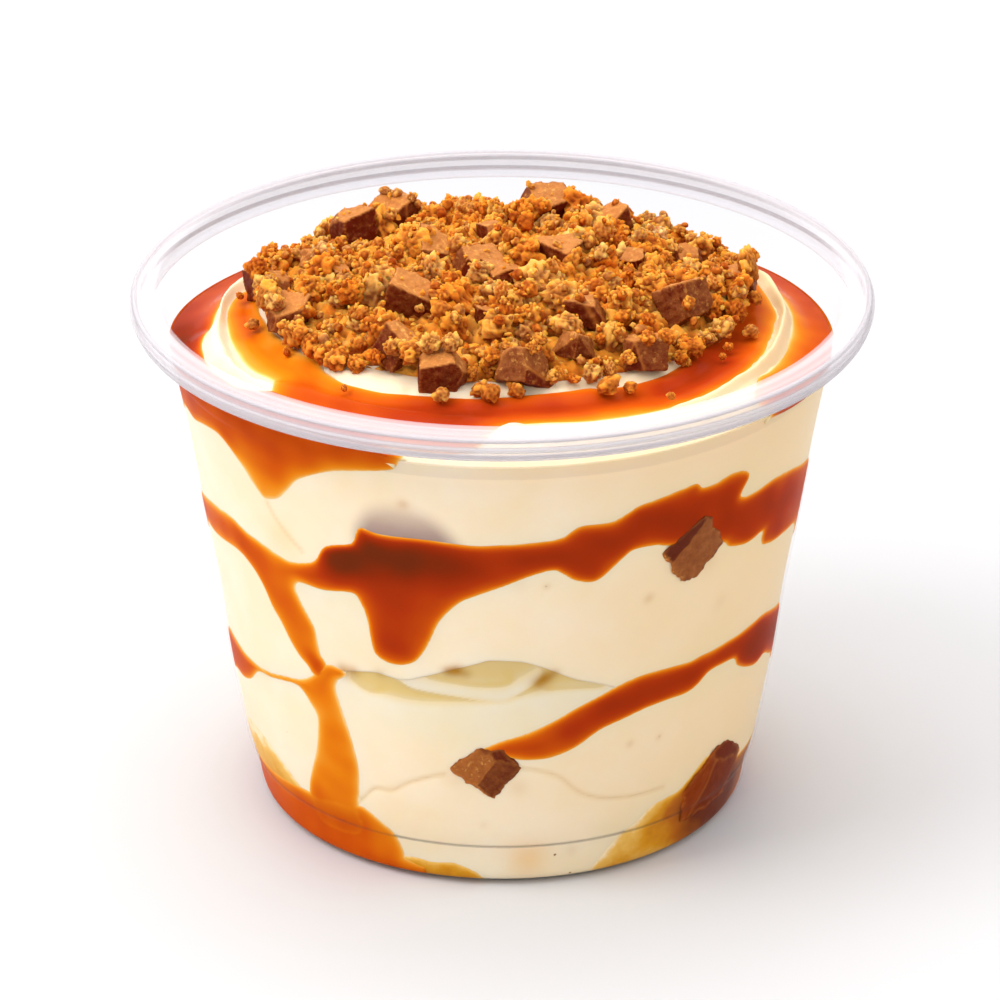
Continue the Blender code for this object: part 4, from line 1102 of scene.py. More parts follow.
def tilted(turn, tilt, chance):
    """A rotation matrix about +Z by turn, after a lean of up to tilt, in degrees."""
    lean, way = math.radians(tilt) * math.sqrt(chance.uniform()), chance.uniform(0, math.tau)
    leaning = Matrix.Rotation(lean, 3, Vector((math.cos(way), math.sin(way), 0)))
    return np.array(Matrix.Rotation(math.radians(turn), 3, "Z") @ leaning)


def lumps(points, pitch, seed, count=30):
    """Soft uneven noise of about this pitch in three dimensions: a sum of plane waves."""
    chance = np.random.default_rng(seed)
    way = chance.normal(size=(3, count))
    rate = way / np.linalg.norm(way, axis=0) * math.tau / (pitch * chance.uniform(0.7, 1.6, count))
    return np.sin(points @ rate + chance.uniform(0, math.tau, count)).sum(-1) / math.sqrt(count / 2)


def cluster(directions, chance, lobes=24, rough=0.08):
    """A baked crumb, about 1 across: many little balls grown together, and roughened.

    Its radius in a direction is the farthest hit of that ray with any of the balls."""
    centres = chance.normal(size=(lobes, 3))
    centres *= (chance.uniform(0.22, 0.36, lobes) / np.linalg.norm(centres, axis=1))[:, None]
    radii = chance.uniform(0.09, 0.17, lobes)
    centres, radii = np.concatenate([[[0, 0, 0]], centres]), np.concatenate([[0.35], radii])
    along = directions @ centres.T
    depth = radii ** 2 - ((centres ** 2).sum(1) - along ** 2)
    hit = np.where(depth > 0, along + np.sqrt(np.maximum(depth, 0)), 0)
    radius = hit.max(1) * (1 + rough * lumps(directions, 0.36, int(chance.integers(1e6))))
    # Painted shade: points that lie low between the balls get a low crease value, which the material paints
    # dark.
    crease = np.clip((radius - 0.32) / 0.14, 0, 1)
    return directions * radius[:, None] * chance.uniform(0.74, 1.16, 3), crease


def rounded_block(directions, sides, reach, sharp, rough, chance):
    """A block with these plane sides: its radius is that of the nearest side, softened along the edges.

    Also gives the share that each side has in each of its points. Breaks roughen it, coarse and fine."""
    near = (np.maximum(directions @ sides.T, 0) / reach) ** sharp
    radius = near.sum(1) ** (-1 / sharp)
    seed = int(chance.integers(1e6))
    points = directions * radius[:, None]
    broken = lumps(points, 1.9, seed) + 0.6 * lumps(points, 0.8, seed + 1)
    return points * (1 + rough * broken / radius)[:, None], near / near.sum(1, keepdims=True)


def block(directions, size, chance, cuts=3, sharp=46.0, rough=0.07):
    """A broken block of this size: six tilted sides, and cuts more that take off corners.

    Also gives the direction that each of its points faces, and how near each is to an edge."""
    sides = np.concatenate([np.eye(3), -np.eye(3)]) + chance.normal(0, 0.15, (6, 3))
    reach = np.concatenate([size, size]) / 2 * chance.uniform(0.9, 1.06, 6)
    extra = chance.normal(size=(cuts, 3))
    extra /= np.linalg.norm(extra, axis=1)[:, None]
    extra_reach = (np.abs(extra) * size).sum(1) / 2 * chance.uniform(0.55, 0.78, cuts)
    sides = np.concatenate([sides / np.linalg.norm(sides, axis=1)[:, None], extra])
    reach = np.concatenate([reach, extra_reach])
    points, share = rounded_block(directions, sides, reach, sharp, rough, chance)
    return points, share @ sides, 1 - ramp(share.max(1), 0.6, 0.98)


def pressed(points, proud=0.1):
    """Points moved towards the axis where they would stand farther out than this past the food's face."""
    reach = inner_radius(points[:, 2]) + TOUCHING + proud
    radius = np.hypot(points[:, 0], points[:, 1])
    share = np.minimum(1, reach / radius)
    return points * np.stack([share, share, np.ones_like(share)], 1)


class Pile:
    """Heights of the heap on a fine grid in plan, so that each new piece rests on what is there."""

    cell = 0.4
    half = 40.0

    def __init__(self, floor):
        side = np.arange(-self.half, self.half, self.cell) + self.cell / 2
        self.x, self.y = np.meshgrid(side, side, indexing="ij")
        self.top = floor(self.x, self.y)
        self.taken = np.zeros(self.top.shape, bool)

    def index(self, x, y):
        """The grid's cell at each place."""
        last = len(self.top) - 1
        return tuple(np.clip(((np.asarray(v) + self.half) / self.cell).astype(int), 0, last) for v in (x, y))

    def add(self, points, taken=False):
        """Puts a piece in; where it is marked as taken, only a few crumbs may still lie."""
        place = self.index(points[:, 0], points[:, 1])
        np.maximum.at(self.top, place, points[:, 2])
        if taken:
            self.taken[place] = True

    def rest(self, x, y, reach):
        """The mean height of five places round (x, y)."""
        places = [self.top[self.index(x + dx * reach, y + dy * reach)]
                  for dx, dy in ((0, 0), (0.6, 0), (-0.6, 0), (0, 0.6), (0, -0.6))]
        return np.mean(places, axis=0)


HEAP_HALVES = (32.4, 27.9)  # half its width and half its depth, in mm
HEAP_MIDDLE_Y = 1.7
HEAP_FOOT, HEAP_RISE = 67.2, 5.2  # height of its foot, and how far its core rises over that
HEAP_LIMIT = 76.2  # no piece of it is higher
CORE_EDGE = 0.95  # share of the way out where the core meets its foot
GOLDEN_ANGLE = 2.39996  # in radians; turns by it spread places evenly
CRUSHED = 2.2  # depth in mm of what the wall has flattened of a chunk
LOWEST_CHUNK = 1.4  # no chunk at the wall reaches under this height
# Paler pieces of biscuit: (x, y). Those that would lie on chocolate are left out.
NUGGETS = (
    (-13.0, 17.0), (27.0, -4.0), (-17.0, -3.0), (0.0, -12.0), (13.0, 8.0), (-5.0, 22.0), (20.0, 12.0),
    (-23.0, 4.0),
)
# Crumbs that fell off the heap: (x, y, size), and specks at the wall: (angle, height, size).
STRAYS = (
    (-7.4, -28.8, 3.0), (-1.4, -28.6, 3.6), (1.8, -27.2, 2.8), (13.0, -26.6, 3.8), (15.8, -26.0, 2.4),
    (20.8, -28.2, 1.5), (-19.5, -25.6, 1.2), (-31.5, -6.6, 2.2), (-27.0, -14.8, 1.4), (31.4, -8.8, 2.4),
    (28.4, -13.4, 1.8), (27.6, -16.0, 1.2), (-33.6, 3.0, 1.6), (-25.2, 17.6, 1.8), (23.0, -18.0, 1.6),
)
SPECKS = (
    (8, 46.4, 0.9), (7, 45.2, 0.6), (28, 42.6, 0.8), (-6, 39.0, 0.6), (27, 20.5, 0.9), (34, 20.5, 0.8),
    (12, 4.6, 0.8), (16, 1.3, 0.9), (-17, 57.6, 0.9), (19, 3.6, 0.8), (3, 27.6, 0.5), (42, 38.0, 0.6),
    (-52, 17.0, 0.6),
)
# Chocolate in the heap: middle x, y, z, then width, deep, tall in mm and the turn in degrees.
HEAP_CHOCOLATE = (
    (-30.0, 2.8, 69.6, 5.0, 5.4, 3.8, 20), (-27.0, -7.7, 70.0, 6.4, 5.6, 3.6, -25),
    (-19.3, 13.6, 72.0, 5.6, 5.6, 5.2, 35), (-12.9, -20.3, 70.6, 4.8, 5.0, 5.4, 50),
    (-11.3, -9.8, 72.6, 6.6, 5.4, 4.6, -15), (-13.5, 18.4, 72.6, 6.6, 5.6, 5.6, 40),
    (-8.2, 4.3, 73.0, 4.2, 5.2, 3.8, 10), (-3.1, -0.4, 73.2, 7.2, 5.0, 3.6, 30),
    (0.2, -3.6, 73.2, 5.8, 5.4, 2.6, 25), (-7.3, -24.6, 70.4, 6.8, 5.2, 5.2, 5),
    (2.2, -24.4, 70.2, 6.0, 5.2, 5.0, -20), (5.2, 19.4, 73.4, 6.8, 5.8, 5.0, 15),
    (7.0, 2.2, 73.4, 5.0, 5.6, 4.8, -35), (14.3, 16.6, 72.2, 4.6, 5.2, 4.0, 30),
    (10.2, -13.6, 72.2, 4.8, 5.2, 3.8, -10), (9.2, -19.8, 71.2, 4.2, 4.6, 3.4, 25),
    (17.6, -19.6, 70.2, 7.0, 5.0, 4.6, -5), (23.0, -8.6, 71.2, 5.6, 5.6, 5.4, 45),
    (30.0, 2.8, 70.0, 5.6, 5.6, 4.2, -20), (-20.5, -1.0, 72.0, 3.2, 3.6, 2.6, 30),
    (17.0, 2.0, 73.0, 3.4, 3.0, 2.8, 60), (-1.0, 10.5, 73.4, 3.6, 3.4, 2.8, 15),
    (24.0, 7.5, 72.0, 3.8, 3.2, 3.0, 0), (-24.5, 8.0, 71.0, 3.0, 3.6, 2.6, 70),
    (-2.0, -14.5, 72.2, 3.2, 3.0, 2.6, 25),
)
# Chocolate at the wall: (piece, node, angle, height, share of its relief, how far into the sheet, planes).
# A plane is (right, out, up, distance, tone): its normal, how far it is from the middle, and its tone from
# 0, dark, to 1, light: painted light and shade for that facet, whose front the wall has flattened.
WALL_CHOCOLATE = (
    ("wall_chunk_front", "chocolate_chunk_front", -3.8, 18.4, 0.12, 0.38, (
        (-0.61, 0, -0.79, 2.5, 1.0), (0.81, 0, -0.58, 3.5, 0.3), (0.75, 0, 0.67, 4.1, 0.0),
        (0, 0, 1, 3.5, 0.3), (-0.64, 0, 0.77, 3.1, 0.5), (0.34, 0.92, -0.22, 1.25, 0.25),
        (-0.26, 0.95, 0.14, 1.1, 0.75), (0.40, 0.84, 0.38, 2.35, 0.0), (0, -1, 0, 3.0, 0))),
    ("wall_chunk_right", "chocolate_chunk_right", 36.8, 48.3, 0.07, 0.38, (
        (-0.56, 0, 0.83, 3.1, 0.0), (0.82, 0, 0.57, 3.5, 0.5), (0.70, 0, -0.71, 3.9, 0.4),
        (-0.82, 0, -0.57, 3.8, 1.0), (0, 0, -1, 4.4, 0.5), (0.06, 0.99, -0.06, 1.2, 0.5),
        (-0.44, 0.80, 0.42, 1.95, 0.0), (0, -1, 0, 3.0, 0))),
    ("wall_chunk_left", "chocolate_chunk_left", -19.0, 49.2, 1.0, -0.6, (
        (-0.98, 0, 0.1, 6.4, 0), (0.97, 0, 0.2, 6.6, 0), (0.1, 0, 1, 3.0, 0), (-0.1, 0, -1, 3.2, 0),
        (0, 1, 0, 2.0, 0), (0, -1, 0, 2.4, 0))),
    ("wall_chunk_base", "chocolate_chunk_base", 53.0, 9.2, 0.07, 0.38, (
        (-0.95, 0, -0.3, 5.6, 0.8), (-0.66, 0, 0.75, 4.2, 0.6), (-0.1, 0, 0.99, 5.2, 0.2),
        (0.72, 0, 0.69, 6.2, 0.2), (0.97, 0, -0.2, 6.4, 0.4), (0, 0, -1, 4.6, 0.6),
        (0.16, 0.98, -0.1, 1.5, 0.2), (-0.30, 0.94, 0.1, 2.0, 0.45), (0.3, 0.85, 0.45, 3.0, 0.0),
        (0, -1, 0, 2.6, 0))),
)


def heap_share(x, y):
    """How far out in the oval heap a place is: 0 in the middle, 1 at its foot."""
    return np.hypot(x / HEAP_HALVES[0], (y - HEAP_MIDDLE_Y) / HEAP_HALVES[1])


def heap_place(share, turn):
    """The place (x, y) this share of the way out in the oval, at this angle in radians."""
    return HEAP_HALVES[0] * share * np.cos(turn), HEAP_MIDDLE_Y + HEAP_HALVES[1] * share * np.sin(turn)


def heap_floor(x, y):
    """Height of the heap's core: a flat dome that falls with the share of the way out to the power 2.8."""
    share = np.minimum(heap_share(x, y) / CORE_EDGE, 1.0)
    return HEAP_FOOT + HEAP_RISE * (1 - share ** 2.8)


def crumb_bed(x, y, chance, count=4200):
    """Height and tone of a bed of round crumbs: at each place the highest of many balls shows."""
    top, tone = np.zeros(x.shape), np.full(x.shape, 0.2)
    size = chance.uniform(0.35, 1.15, count)
    lift = chance.uniform(0, 0.7, count) * size
    shade = chance.uniform(0, 1, count)
    for k, (x0, y0) in enumerate(zip(*scatter(chance, count, 1.0))):
        cap = lift[k] + np.sqrt(np.maximum(size[k] ** 2 - (x - x0) ** 2 - (y - y0) ** 2, 0))
        higher = (cap > lift[k]) & (cap > top)
        top[higher], tone[higher] = cap[higher], shade[k]
    return top + 0.12 * waves(x, y, 1.0, 61), tone


def gather(name, bodies, attributes):
    """One mesh from many closed bodies, each a (points, triangles) pair, with a value list per attribute."""
    counts = np.cumsum([0] + [len(points) for points, _ in bodies])
    points = np.concatenate([points for points, _ in bodies])
    faces = np.concatenate([faces + start for (_, faces), start in zip(bodies, counts)])
    merged = {key: np.concatenate(values) for key, values in attributes.items()}
    return make_mesh(name, points, faces, merged)


def heap_core(chance):
    """The heap's core: the dome with a relief of crumbs, painted dark in the gaps between them and somewhat
    dark overall, as painted shade of the bed under the loose crumbs.
    """
    shares = np.concatenate([np.linspace(0, 0.25, 14), np.linspace(0.26, 0.94, 92)])
    angles = np.linspace(0, 2 * np.pi, 421)[:-1][:, None]
    x, y = heap_place(shares, angles)
    relief, tone = crumb_bed(x, y, chance)
    top = np.stack([x, y, heap_floor(x, y) - 1.0 + relief], -1)
    bottom = np.stack([x, y, np.full(x.shape, HEAP_FOOT - 1.2)], -1)[:, ::-35]
    top[:, 0] = top[:, 0].mean(0)
    points = np.concatenate([top, bottom, bottom[:, -1:] * (0, 0, 1)], 1)
    extra = points.shape[1] - top.shape[1]
    # Painted shade: low in the relief, between the crumbs, the crease value is small and the material paints
    # it dark.
    crease = np.pad(0.8 * ramp(relief, 0.5, 1.5), ((0, 0), (0, extra)))
    tone = np.pad(tone, ((0, 0), (0, extra)))
    return turned_body("crumb_heap_core", points, {"tint": 0.1 + 0.6 * tone, "crease": crease})


def heap_blocks(pile, chance):
    """The broken chocolate in the heap: each block leans at random and is sunk a little into the core."""
    directions, faces = ball(5)
    bodies, tints, dust, edge_highlights = [], [], [], []
    for x, y, z, width, deep, tall, turn in HEAP_CHOCOLATE:
        points, facing, edge = block(directions, np.array((width * 0.88, deep * 0.88, tall * 0.9)), chance)
        turned = tilted(turn, 26, chance).T
        z = min(z, float(heap_floor(x, y)) - 0.5 + tall / 2)
        points, facing = points @ turned + (x, y, z), facing @ turned
        points[:, 2] -= max(points[:, 2].max() - HEAP_LIMIT, 0)
        pile.add(points, taken=True)
        bodies.append((points, faces))
        # Painted light and shade: the tops are painted lighter and the sides darker, with a little random
        # tone; the edges get a painted highlight.
        tints.append(0.2 * chance.uniform() + 0.8 * ramp(facing[:, 2], 0.15, 0.9))
        dust.append(0.15 + 0.85 * ramp(facing[:, 2], 0.0, 0.9))
        edge_highlights.append(edge)
    return gather("heap_chocolate", bodies, {"tint": tints, "dust": dust, "edge": edge_highlights})


def scatter(chance, count, limit):
    """Places spread evenly over the heap, each moved a little."""
    k = np.arange(count) + 0.5
    x, y = heap_place((k / count) ** 0.48 * limit, k * GOLDEN_ANGLE)
    move = chance.normal(0, 0.25 * 60 / math.sqrt(count), (2, count))
    return x + move[0], y + move[1]


def crumbs(name, pile, chance, count, sizes, level, lobes, limit=0.97, rise=0.25, places=None, keep=0.0):
    """Crumbs of one kind, set down one after another on what is there.

    Of those that would lie on chocolate only the share keep is made."""
    directions, faces = ball(level)
    xs, ys = places if places is not None else scatter(chance, count, limit)
    bodies, gap_shades, tints = [], [], []
    for x, y in zip(xs, ys):
        size = sizes[0] + (sizes[1] - sizes[0]) * chance.uniform() ** 1.5
        if pile.taken[pile.index(x, y)] and chance.uniform() > keep:
            continue
        points, crease = cluster(directions, chance, lobes)
        points = points @ random_turn(chance).T * size
        # Painted shade: the lower side of each crumb is painted darker as well.
        crease = crease * (0.3 + 0.7 * ramp(points[:, 2] / size, -0.35, 0.2))
        height = max(float(pile.rest(x, y, size / 2)), HEAP_FOOT) + rise * size
        points = points + (x, y, height)
        points[:, 2] -= max(points[:, 2].max() - HEAP_LIMIT, 0)
        pile.add(points)
        bodies.append((points, faces))
        gap_shades.append(crease)
        tints.append(np.full(len(points), chance.uniform()))
    return gather(name, bodies, {"crease": gap_shades, "tint": tints})


def fine_crumbs(name, pile, chance, count, sizes):
    """The finest crumbs: rough little 20-sided balls, all made at once.

    A crumb's corners are its directions times a random length, turned, and set on the heap."""
    directions, faces = ball(1)
    share = np.sqrt(chance.uniform(0, 1, count)) * 0.97
    x, y = heap_place(share, chance.uniform(0, 2 * np.pi, count))
    wanted = ~pile.taken[pile.index(x, y)] | (chance.uniform(0, 1, count) < 0.3)
    x, y, count = x[wanted], y[wanted], int(wanted.sum())
    size = chance.uniform(*sizes, count) * 0.5
    height = pile.rest(x, y, 0.3) + size * 0.4
    length = chance.uniform(0.5, 1.2, (count, len(directions)))
    spread = chance.uniform(0.7, 1.3, (count, 1, 3))
    points = directions[None] * length[..., None] * spread * size[:, None, None]
    points = points + np.stack([x, y, np.minimum(height, HEAP_LIMIT - 0.6)], 1)[:, None]
    all_faces = (faces[None] + (np.arange(count) * len(directions))[:, None, None]).reshape(-1, 3)
    tint = np.repeat(chance.uniform(0, 0.7, count), len(directions))
    points = points.reshape(-1, 3)
    # The crease value, which the material turns into painted gap shade, is high and the same on each fine
    # crumb.
    attributes = {"tint": tint, "crease": np.full(len(points), 0.8)}
    return make_mesh(name, points, all_faces, attributes, smooth=False)


def loose_crumbs(name, places, level, lobes, tints, chance, put):
    """Crumbs one by one, at places that end in their size. put brings the points of one to its place."""
    directions, faces = ball(level)
    bodies, gap_shades, tones = [], [], []
    for *place, size in places:
        points, crease = cluster(directions, chance, lobes)
        bodies.append((put(points @ random_turn(chance).T * size, *place, size), faces))
        gap_shades.append(crease)
        tones.append(np.full(len(points), chance.uniform(*tints)))
    return gather(name, bodies, {"crease": gap_shades, "tint": tones})


def on_top(points, x, y, size):
    """A crumb that lies on the cream or the caramel of the top."""
    return points + (x, y, 66.7 + 0.3 * size)


def at_the_wall(points, angle, height, size):
    """A speck pressed between the cream and the wall."""
    middle = at_angle(np.array(angle), inner_radius(height) - size * 0.2, np.array(height))
    return pressed(points + middle)


def wall_block(name, angle, height, relief, reach, planes, chance):
    """A chunk of chocolate against the wall, which has flattened its front to this share of its relief.

    It is a block with the planes given, bent round the cup; reach is how far into the sheet it goes."""
    directions, faces = ball(5)
    planes = np.array(planes, float)
    sides = planes[:, :3] / np.linalg.norm(planes[:, :3], axis=1)[:, None]
    points, share = rounded_block(directions, sides, planes[:, 3], 26.0, 0.14, chance)
    # Painted light and shade: each facet gets its own tone, since the flattened front has little relief to
    # shade.
    tone = share @ planes[:, 4]
    right, out, up = points.T
    back = out.max() - out
    back = np.where(back < CRUSHED, relief * back, relief * CRUSHED + back - CRUSHED)
    z = np.maximum(height + up, LOWEST_CHUNK)
    place = at_angle(angle + np.degrees(right / inner_radius(height)), inner_radius(z) + reach - back, z)
    # Painted highlight along the edges; the crumb dust follows the painted tone.
    edge = 1 - ramp(share.max(1), 0.6, 0.98)
    attributes = {"tint": tone, "dust": ramp(tone, 0.4, 0.9), "edge": 0.6 * edge}
    return make_mesh(name, place, faces[:, ::-1], attributes)


def chocolate_material(name, light, dark, dust, specular=0.08):
    """Milk chocolate, broken: satin, dusty with crumb on top. Its tint is painted light and shade: darker and
    redder on its sides and on faces turned from the light, paler on top, and lighter along its edges as a
    painted highlight.
    """
    material = new_material(name)
    tree = material[1]
    grain = noise(tree, 0.9, 5, 0.7)
    # Painted light and shade: the tint attribute sets how light the colour is, with grain on top.
    shade = math_node(tree, "ADD", math_node(tree, "MULTIPLY", attribute(tree, "tint"), 0.75),
                      math_node(tree, "MULTIPLY", math_node(tree, "SUBTRACT", grain, 0.5), 0.7), clamp=True)
    colour = colour_ramp(tree, shade, ((0.05, dark), (0.8, light)))
    flecks = add_node(tree, "ShaderNodeMapRange", inputs={"From Min": 0.56, "From Max": 0.66, "To Max": dust},
                      Value=noise(tree, 0.8, 3, 0.7)).outputs[0]
    # Painted highlight: the edges are mixed to a lighter orange.
    colour = mix_colour(tree, math_node(tree, "MULTIPLY", attribute(tree, "edge"), 0.5), colour, "#C87A34")
    colour = mix_colour(tree, math_node(tree, "MULTIPLY", flecks, attribute(tree, "dust")), colour, "#E0A050")
    look = {"Roughness": 0.5, "Specular IOR Level": specular}
    return principled(material, look, Base__Color=colour, Normal=bump(tree, noise(tree, 0.7, 5, 0.75), 0.2))


def biscuit_material(name, stops, gap_shade_colour="#8A3F0C"):
    """Butter biscuit crumb with caramelised sugar: matt golden brown, darker where toasted, and painted
    darker in the gaps and low places that its crease value marks, as painted shade.

    Its stops go from well toasted to pale."""
    material = new_material(name)
    tree = material[1]
    toast = math_node(tree, "ADD", math_node(tree, "MULTIPLY", attribute(tree, "tint"), 0.55),
                      math_node(tree, "MULTIPLY", noise(tree, 1.3, 5, 0.72), 0.6))
    colour = colour_ramp(tree, toast, stops)
    # Painted shade: where the crease value is low, in gaps and low places, the colour goes towards the dark
    # gap colour.
    span = {"From Min": 0.0, "From Max": 0.86, "To Min": 0.86, "To Max": 0.0}
    deep = add_node(tree, "ShaderNodeMapRange", inputs=span, Value=attribute(tree, "crease")).outputs[0]
    colour = mix_colour(tree, deep, colour, gap_shade_colour)
    look = {"Roughness": 0.6, "Specular IOR Level": 0.06, "Subsurface Weight": 0.45,
            "Subsurface Scale": 0.0016, "Subsurface Radius": (1.0, 0.28, 0.05)}
    return principled(material, look, Base__Color=colour, Normal=bump(tree, noise(tree, 0.6, 5, 0.75), 0.36))


# ---------------------------------------------------------------------------------------------------------
# Sizes, operators and panel
# ---------------------------------------------------------------------------------------------------------


class DessertSizes(bpy.types.PropertyGroup):
    """What a user would change."""

    sheet: bpy.props.FloatProperty(
        name="Cup sheet", description="Thickness of the cup's plastic sheet", default=0.00045, unit="LENGTH")
    small_crumbs: bpy.props.IntProperty(
        name="Small crumbs", description="Crumbs of 1 to 2 mm on the heap", default=400, min=0)
    fine_crumbs: bpy.props.IntProperty(
        name="Fine crumbs", description="Crumbs under 1 mm on the heap", default=1800, min=0)
    floor: bpy.props.FloatVectorProperty(
        name="Floor", description="Colour of the studio floor", subtype="COLOR",
        default=(0.622, 0.620, 0.630))
    key: bpy.props.FloatProperty(
        name="Key light", description="Power of the large soft light at the left", default=4.25,
        unit="POWER")
    distance: bpy.props.FloatProperty(
        name="Camera distance", description="From the camera to the cup's axis", default=0.698657,
        unit="LENGTH")
    pitch: bpy.props.FloatProperty(
        name="Camera pitch", description="How far the camera looks down", default=math.radians(25.4354),
        subtype="ANGLE")


class DESSERT_OT_cup(bpy.types.Operator):
    """The clear cup: a thin sheet with a foot, a stacking step and a rolled rim"""

    bl_idname = "dessert.cup"
    bl_label = "Clear cup"

    def execute(self, context):
        cup = make_cup(context.scene.dessert_sizes.sheet)
        finish_piece(cup, clear_plastic(), "clear_plastic", "cup")
        return {"FINISHED"}


class DESSERT_OT_cream(bpy.types.Operator):
    """The three layers of cream, the upper one with its piped top"""

    bl_idname = "dessert.cream"
    bl_label = "Cream"

    def execute(self, context):
        angles = wall_angles()
        material = cream_material()
        for name, make, node in (
            ("cream_lower_layer", make_cream_lower, "cream_lower"),
            ("cream_middle_layer", make_cream_middle, "cream_middle"),
            ("cream_piped_top", make_cream_upper, "cream_upper"),
        ):
            finish_piece(make_cream_piece(name, make(angles), angles), material, "cream", node)
        return {"FINISHED"}


class DESSERT_OT_caramel(bpy.types.Operator):
    """The caramel: on the floor, in two bands through the cream, and in two rings on the top"""

    bl_idname = "dessert.caramel"
    bl_label = "Caramel"

    def execute(self, context):
        angles = wall_angles()
        at_wall = caramel_material("caramel_against_plastic", {"Roughness": 0.4, "Specular IOR Level": 0.0})
        glossy = caramel_material("caramel_sauce", {"Roughness": 0.1, "Specular IOR Level": 0.012})
        pool_band = [(angle, 1.15, 1.75) for angle in (-180, -90, 0, 90)]
        soft = {"reach": 0.8}
        # Piece and node; the outline, low, high, span, amount and spots of its skin; the band of its layer.
        for name, node, outline, low, high, span, amount, spots, look, band, levels in (
            ("caramel_pool_sauce", "caramel_pool", POOL_OUTLINE, 0.5, 10.8, (18, 342), 0.40, POOL_SPOTS, {},
             pool_band, (1.2, 1.7)),
            ("caramel_lower_sauce", "caramel_lower", LOWER_OUTLINE, 3.0, 32.0, (-8, 334), 0.46, LOWER_SPOTS,
             soft, LOWER_BAND, LOWER_LEVELS),
            ("caramel_middle_sauce", "caramel_middle", MIDDLE_OUTLINE, 27.0, 59.2, (-180, 180), 0.46,
             MIDDLE_SPOTS, soft, MIDDLE_BAND, MIDDLE_LEVELS),
        ):
            skin = wall_sauce(name, outline, low, high, span, PROUD, amount, spots, **look)
            piece = one_piece(skin, sauce_disc(node + "_layer", band, levels, angles))
            finish_piece(piece, at_wall, "caramel", node)
        finish_piece(make_run_down(), at_wall, "caramel")
        finish_piece(make_ring(), glossy, "caramel", "caramel_ring")
        finish_piece(make_swirl(angles), glossy, "caramel", "caramel_swirl")
        return {"FINISHED"}


class DESSERT_OT_sponge(bpy.types.Operator):
    """The soaked sponge in the base"""

    bl_idname = "dessert.sponge"
    bl_label = "Soaked sponge"

    def execute(self, context):
        finish_piece(make_sponge(wall_angles()), sponge_material(), "sponge", "sponge_base")
        return {"FINISHED"}


class DESSERT_OT_wall_chocolate(bpy.types.Operator):
    """The chocolate chunks pressed against the wall, and specks in the cream"""

    bl_idname = "dessert.wall_chocolate"
    bl_label = "Chocolate at the wall"

    def execute(self, context):
        chance = np.random.default_rng(SEED + 1)
        dry = chocolate_material("milk_chocolate_wall", "#BC6E30", "#602006", 0.9)
        wet = chocolate_material("milk_chocolate_in_caramel", "#B04C0C", "#6C2202", 0.3, specular=0.02)
        for name, node, *place in WALL_CHOCOLATE:
            material = dry if node.endswith(("front", "right")) else wet
            finish_piece(wall_block(name, *place, chance), material, "chocolate", node)
        specks = loose_crumbs("cream_specks", SPECKS, 2, 6, (0.0, 0.4), chance, at_the_wall)
        brown = biscuit_material("speck_crumb", ((0.2, "#8A5424"), (0.6, "#C48A48")))
        finish_piece(specks, brown, "crumbs")
        return {"FINISHED"}


class DESSERT_OT_heap(bpy.types.Operator):
    """The heap: biscuit crumbs of every size with chunks of milk chocolate"""

    bl_idname = "dessert.heap"
    bl_label = "Crumb heap"

    def execute(self, context):
        sizes = context.scene.dessert_sizes
        chance = np.random.default_rng(SEED)
        pile = Pile(heap_floor)
        # The last colour of each biscuit is the dark of its painted gap shade.
        biscuit = biscuit_material("biscuit_crumb", (
            (0.12, "#CC5E0E"), (0.36, "#F8922A"), (0.6, "#FFAC42"), (0.85, "#FFC66A"),
        ), "#7C1400")
        pale = biscuit_material("pale_biscuit_crumb", (
            (0.2, "#F8A43A"), (0.5, "#FFC05C"), (0.9, "#FFDA90"),
        ), "#AE4608")
        chocolate = chocolate_material("milk_chocolate", "#CE8442", "#621A04", 0.9)
        finish_piece(heap_core(chance), biscuit, "crumbs", "crumb_topping")
        finish_piece(heap_blocks(pile, chance), chocolate, "chocolate")
        turn = np.linspace(0, 2 * np.pi, 79)[:-1]
        foot = heap_place(0.965 + 0.02 * np.sin(5 * turn) + 0.015 * np.sin(13 * turn), turn)
        # Piece, material, count, sizes in mm, how fine the mesh is, balls in a crumb, and the rest by name.
        for name, material, *kind, rest in (
            ("biscuit_clusters", biscuit, 135, (3.6, 6.2), 4, 30, {"limit": 0.92, "rise": 0.08}),
            ("foot_crumbs", biscuit, 0, (2.2, 4.4), 4, 18, {"rise": 0.3, "places": foot, "keep": 0.6}),
            ("biscuit_lumps", biscuit, 170, (2.0, 3.6), 3, 14, {"limit": 0.98, "rise": 0.14, "keep": 0.12}),
            ("pale_nuggets", pale, 0, (3.0, 4.2), 4, 12, {"places": np.array(NUGGETS).T}),
            ("small_crumbs", biscuit, sizes.small_crumbs, (1.0, 2.2), 2, 7,
             {"limit": 1.0, "rise": 0.16, "keep": 0.2}),
        ):
            finish_piece(crumbs(name, pile, chance, *kind, **rest), material, "crumbs")
        fine = fine_crumbs("fine_crumbs", pile, chance, sizes.fine_crumbs, (0.35, 0.85))
        finish_piece(fine, biscuit, "crumbs")
        strays = loose_crumbs("stray_crumbs", STRAYS, 3, 8, (0.1, 0.7), chance, on_top)
        finish_piece(strays, biscuit, "crumbs")
        return {"FINISHED"}


class DESSERT_OT_stage(bpy.types.Operator):
    """The white floor, the soft lights and the camera"""

    bl_idname = "dessert.stage"
    bl_label = "Stage"

    def execute(self, context):
        sizes = context.scene.dessert_sizes
        make_floor(sizes.floor)
        make_world()
        area_light("key", (-570, -230, 740), 460, sizes.key, "#FFFEFD")
        area_light("top", (-60, 260, 900), 600, 2.6, "#FFFFFF")
        make_camera(sizes.distance, sizes.pitch)
        context.scene.view_settings.view_transform = "Standard"
        return {"FINISHED"}


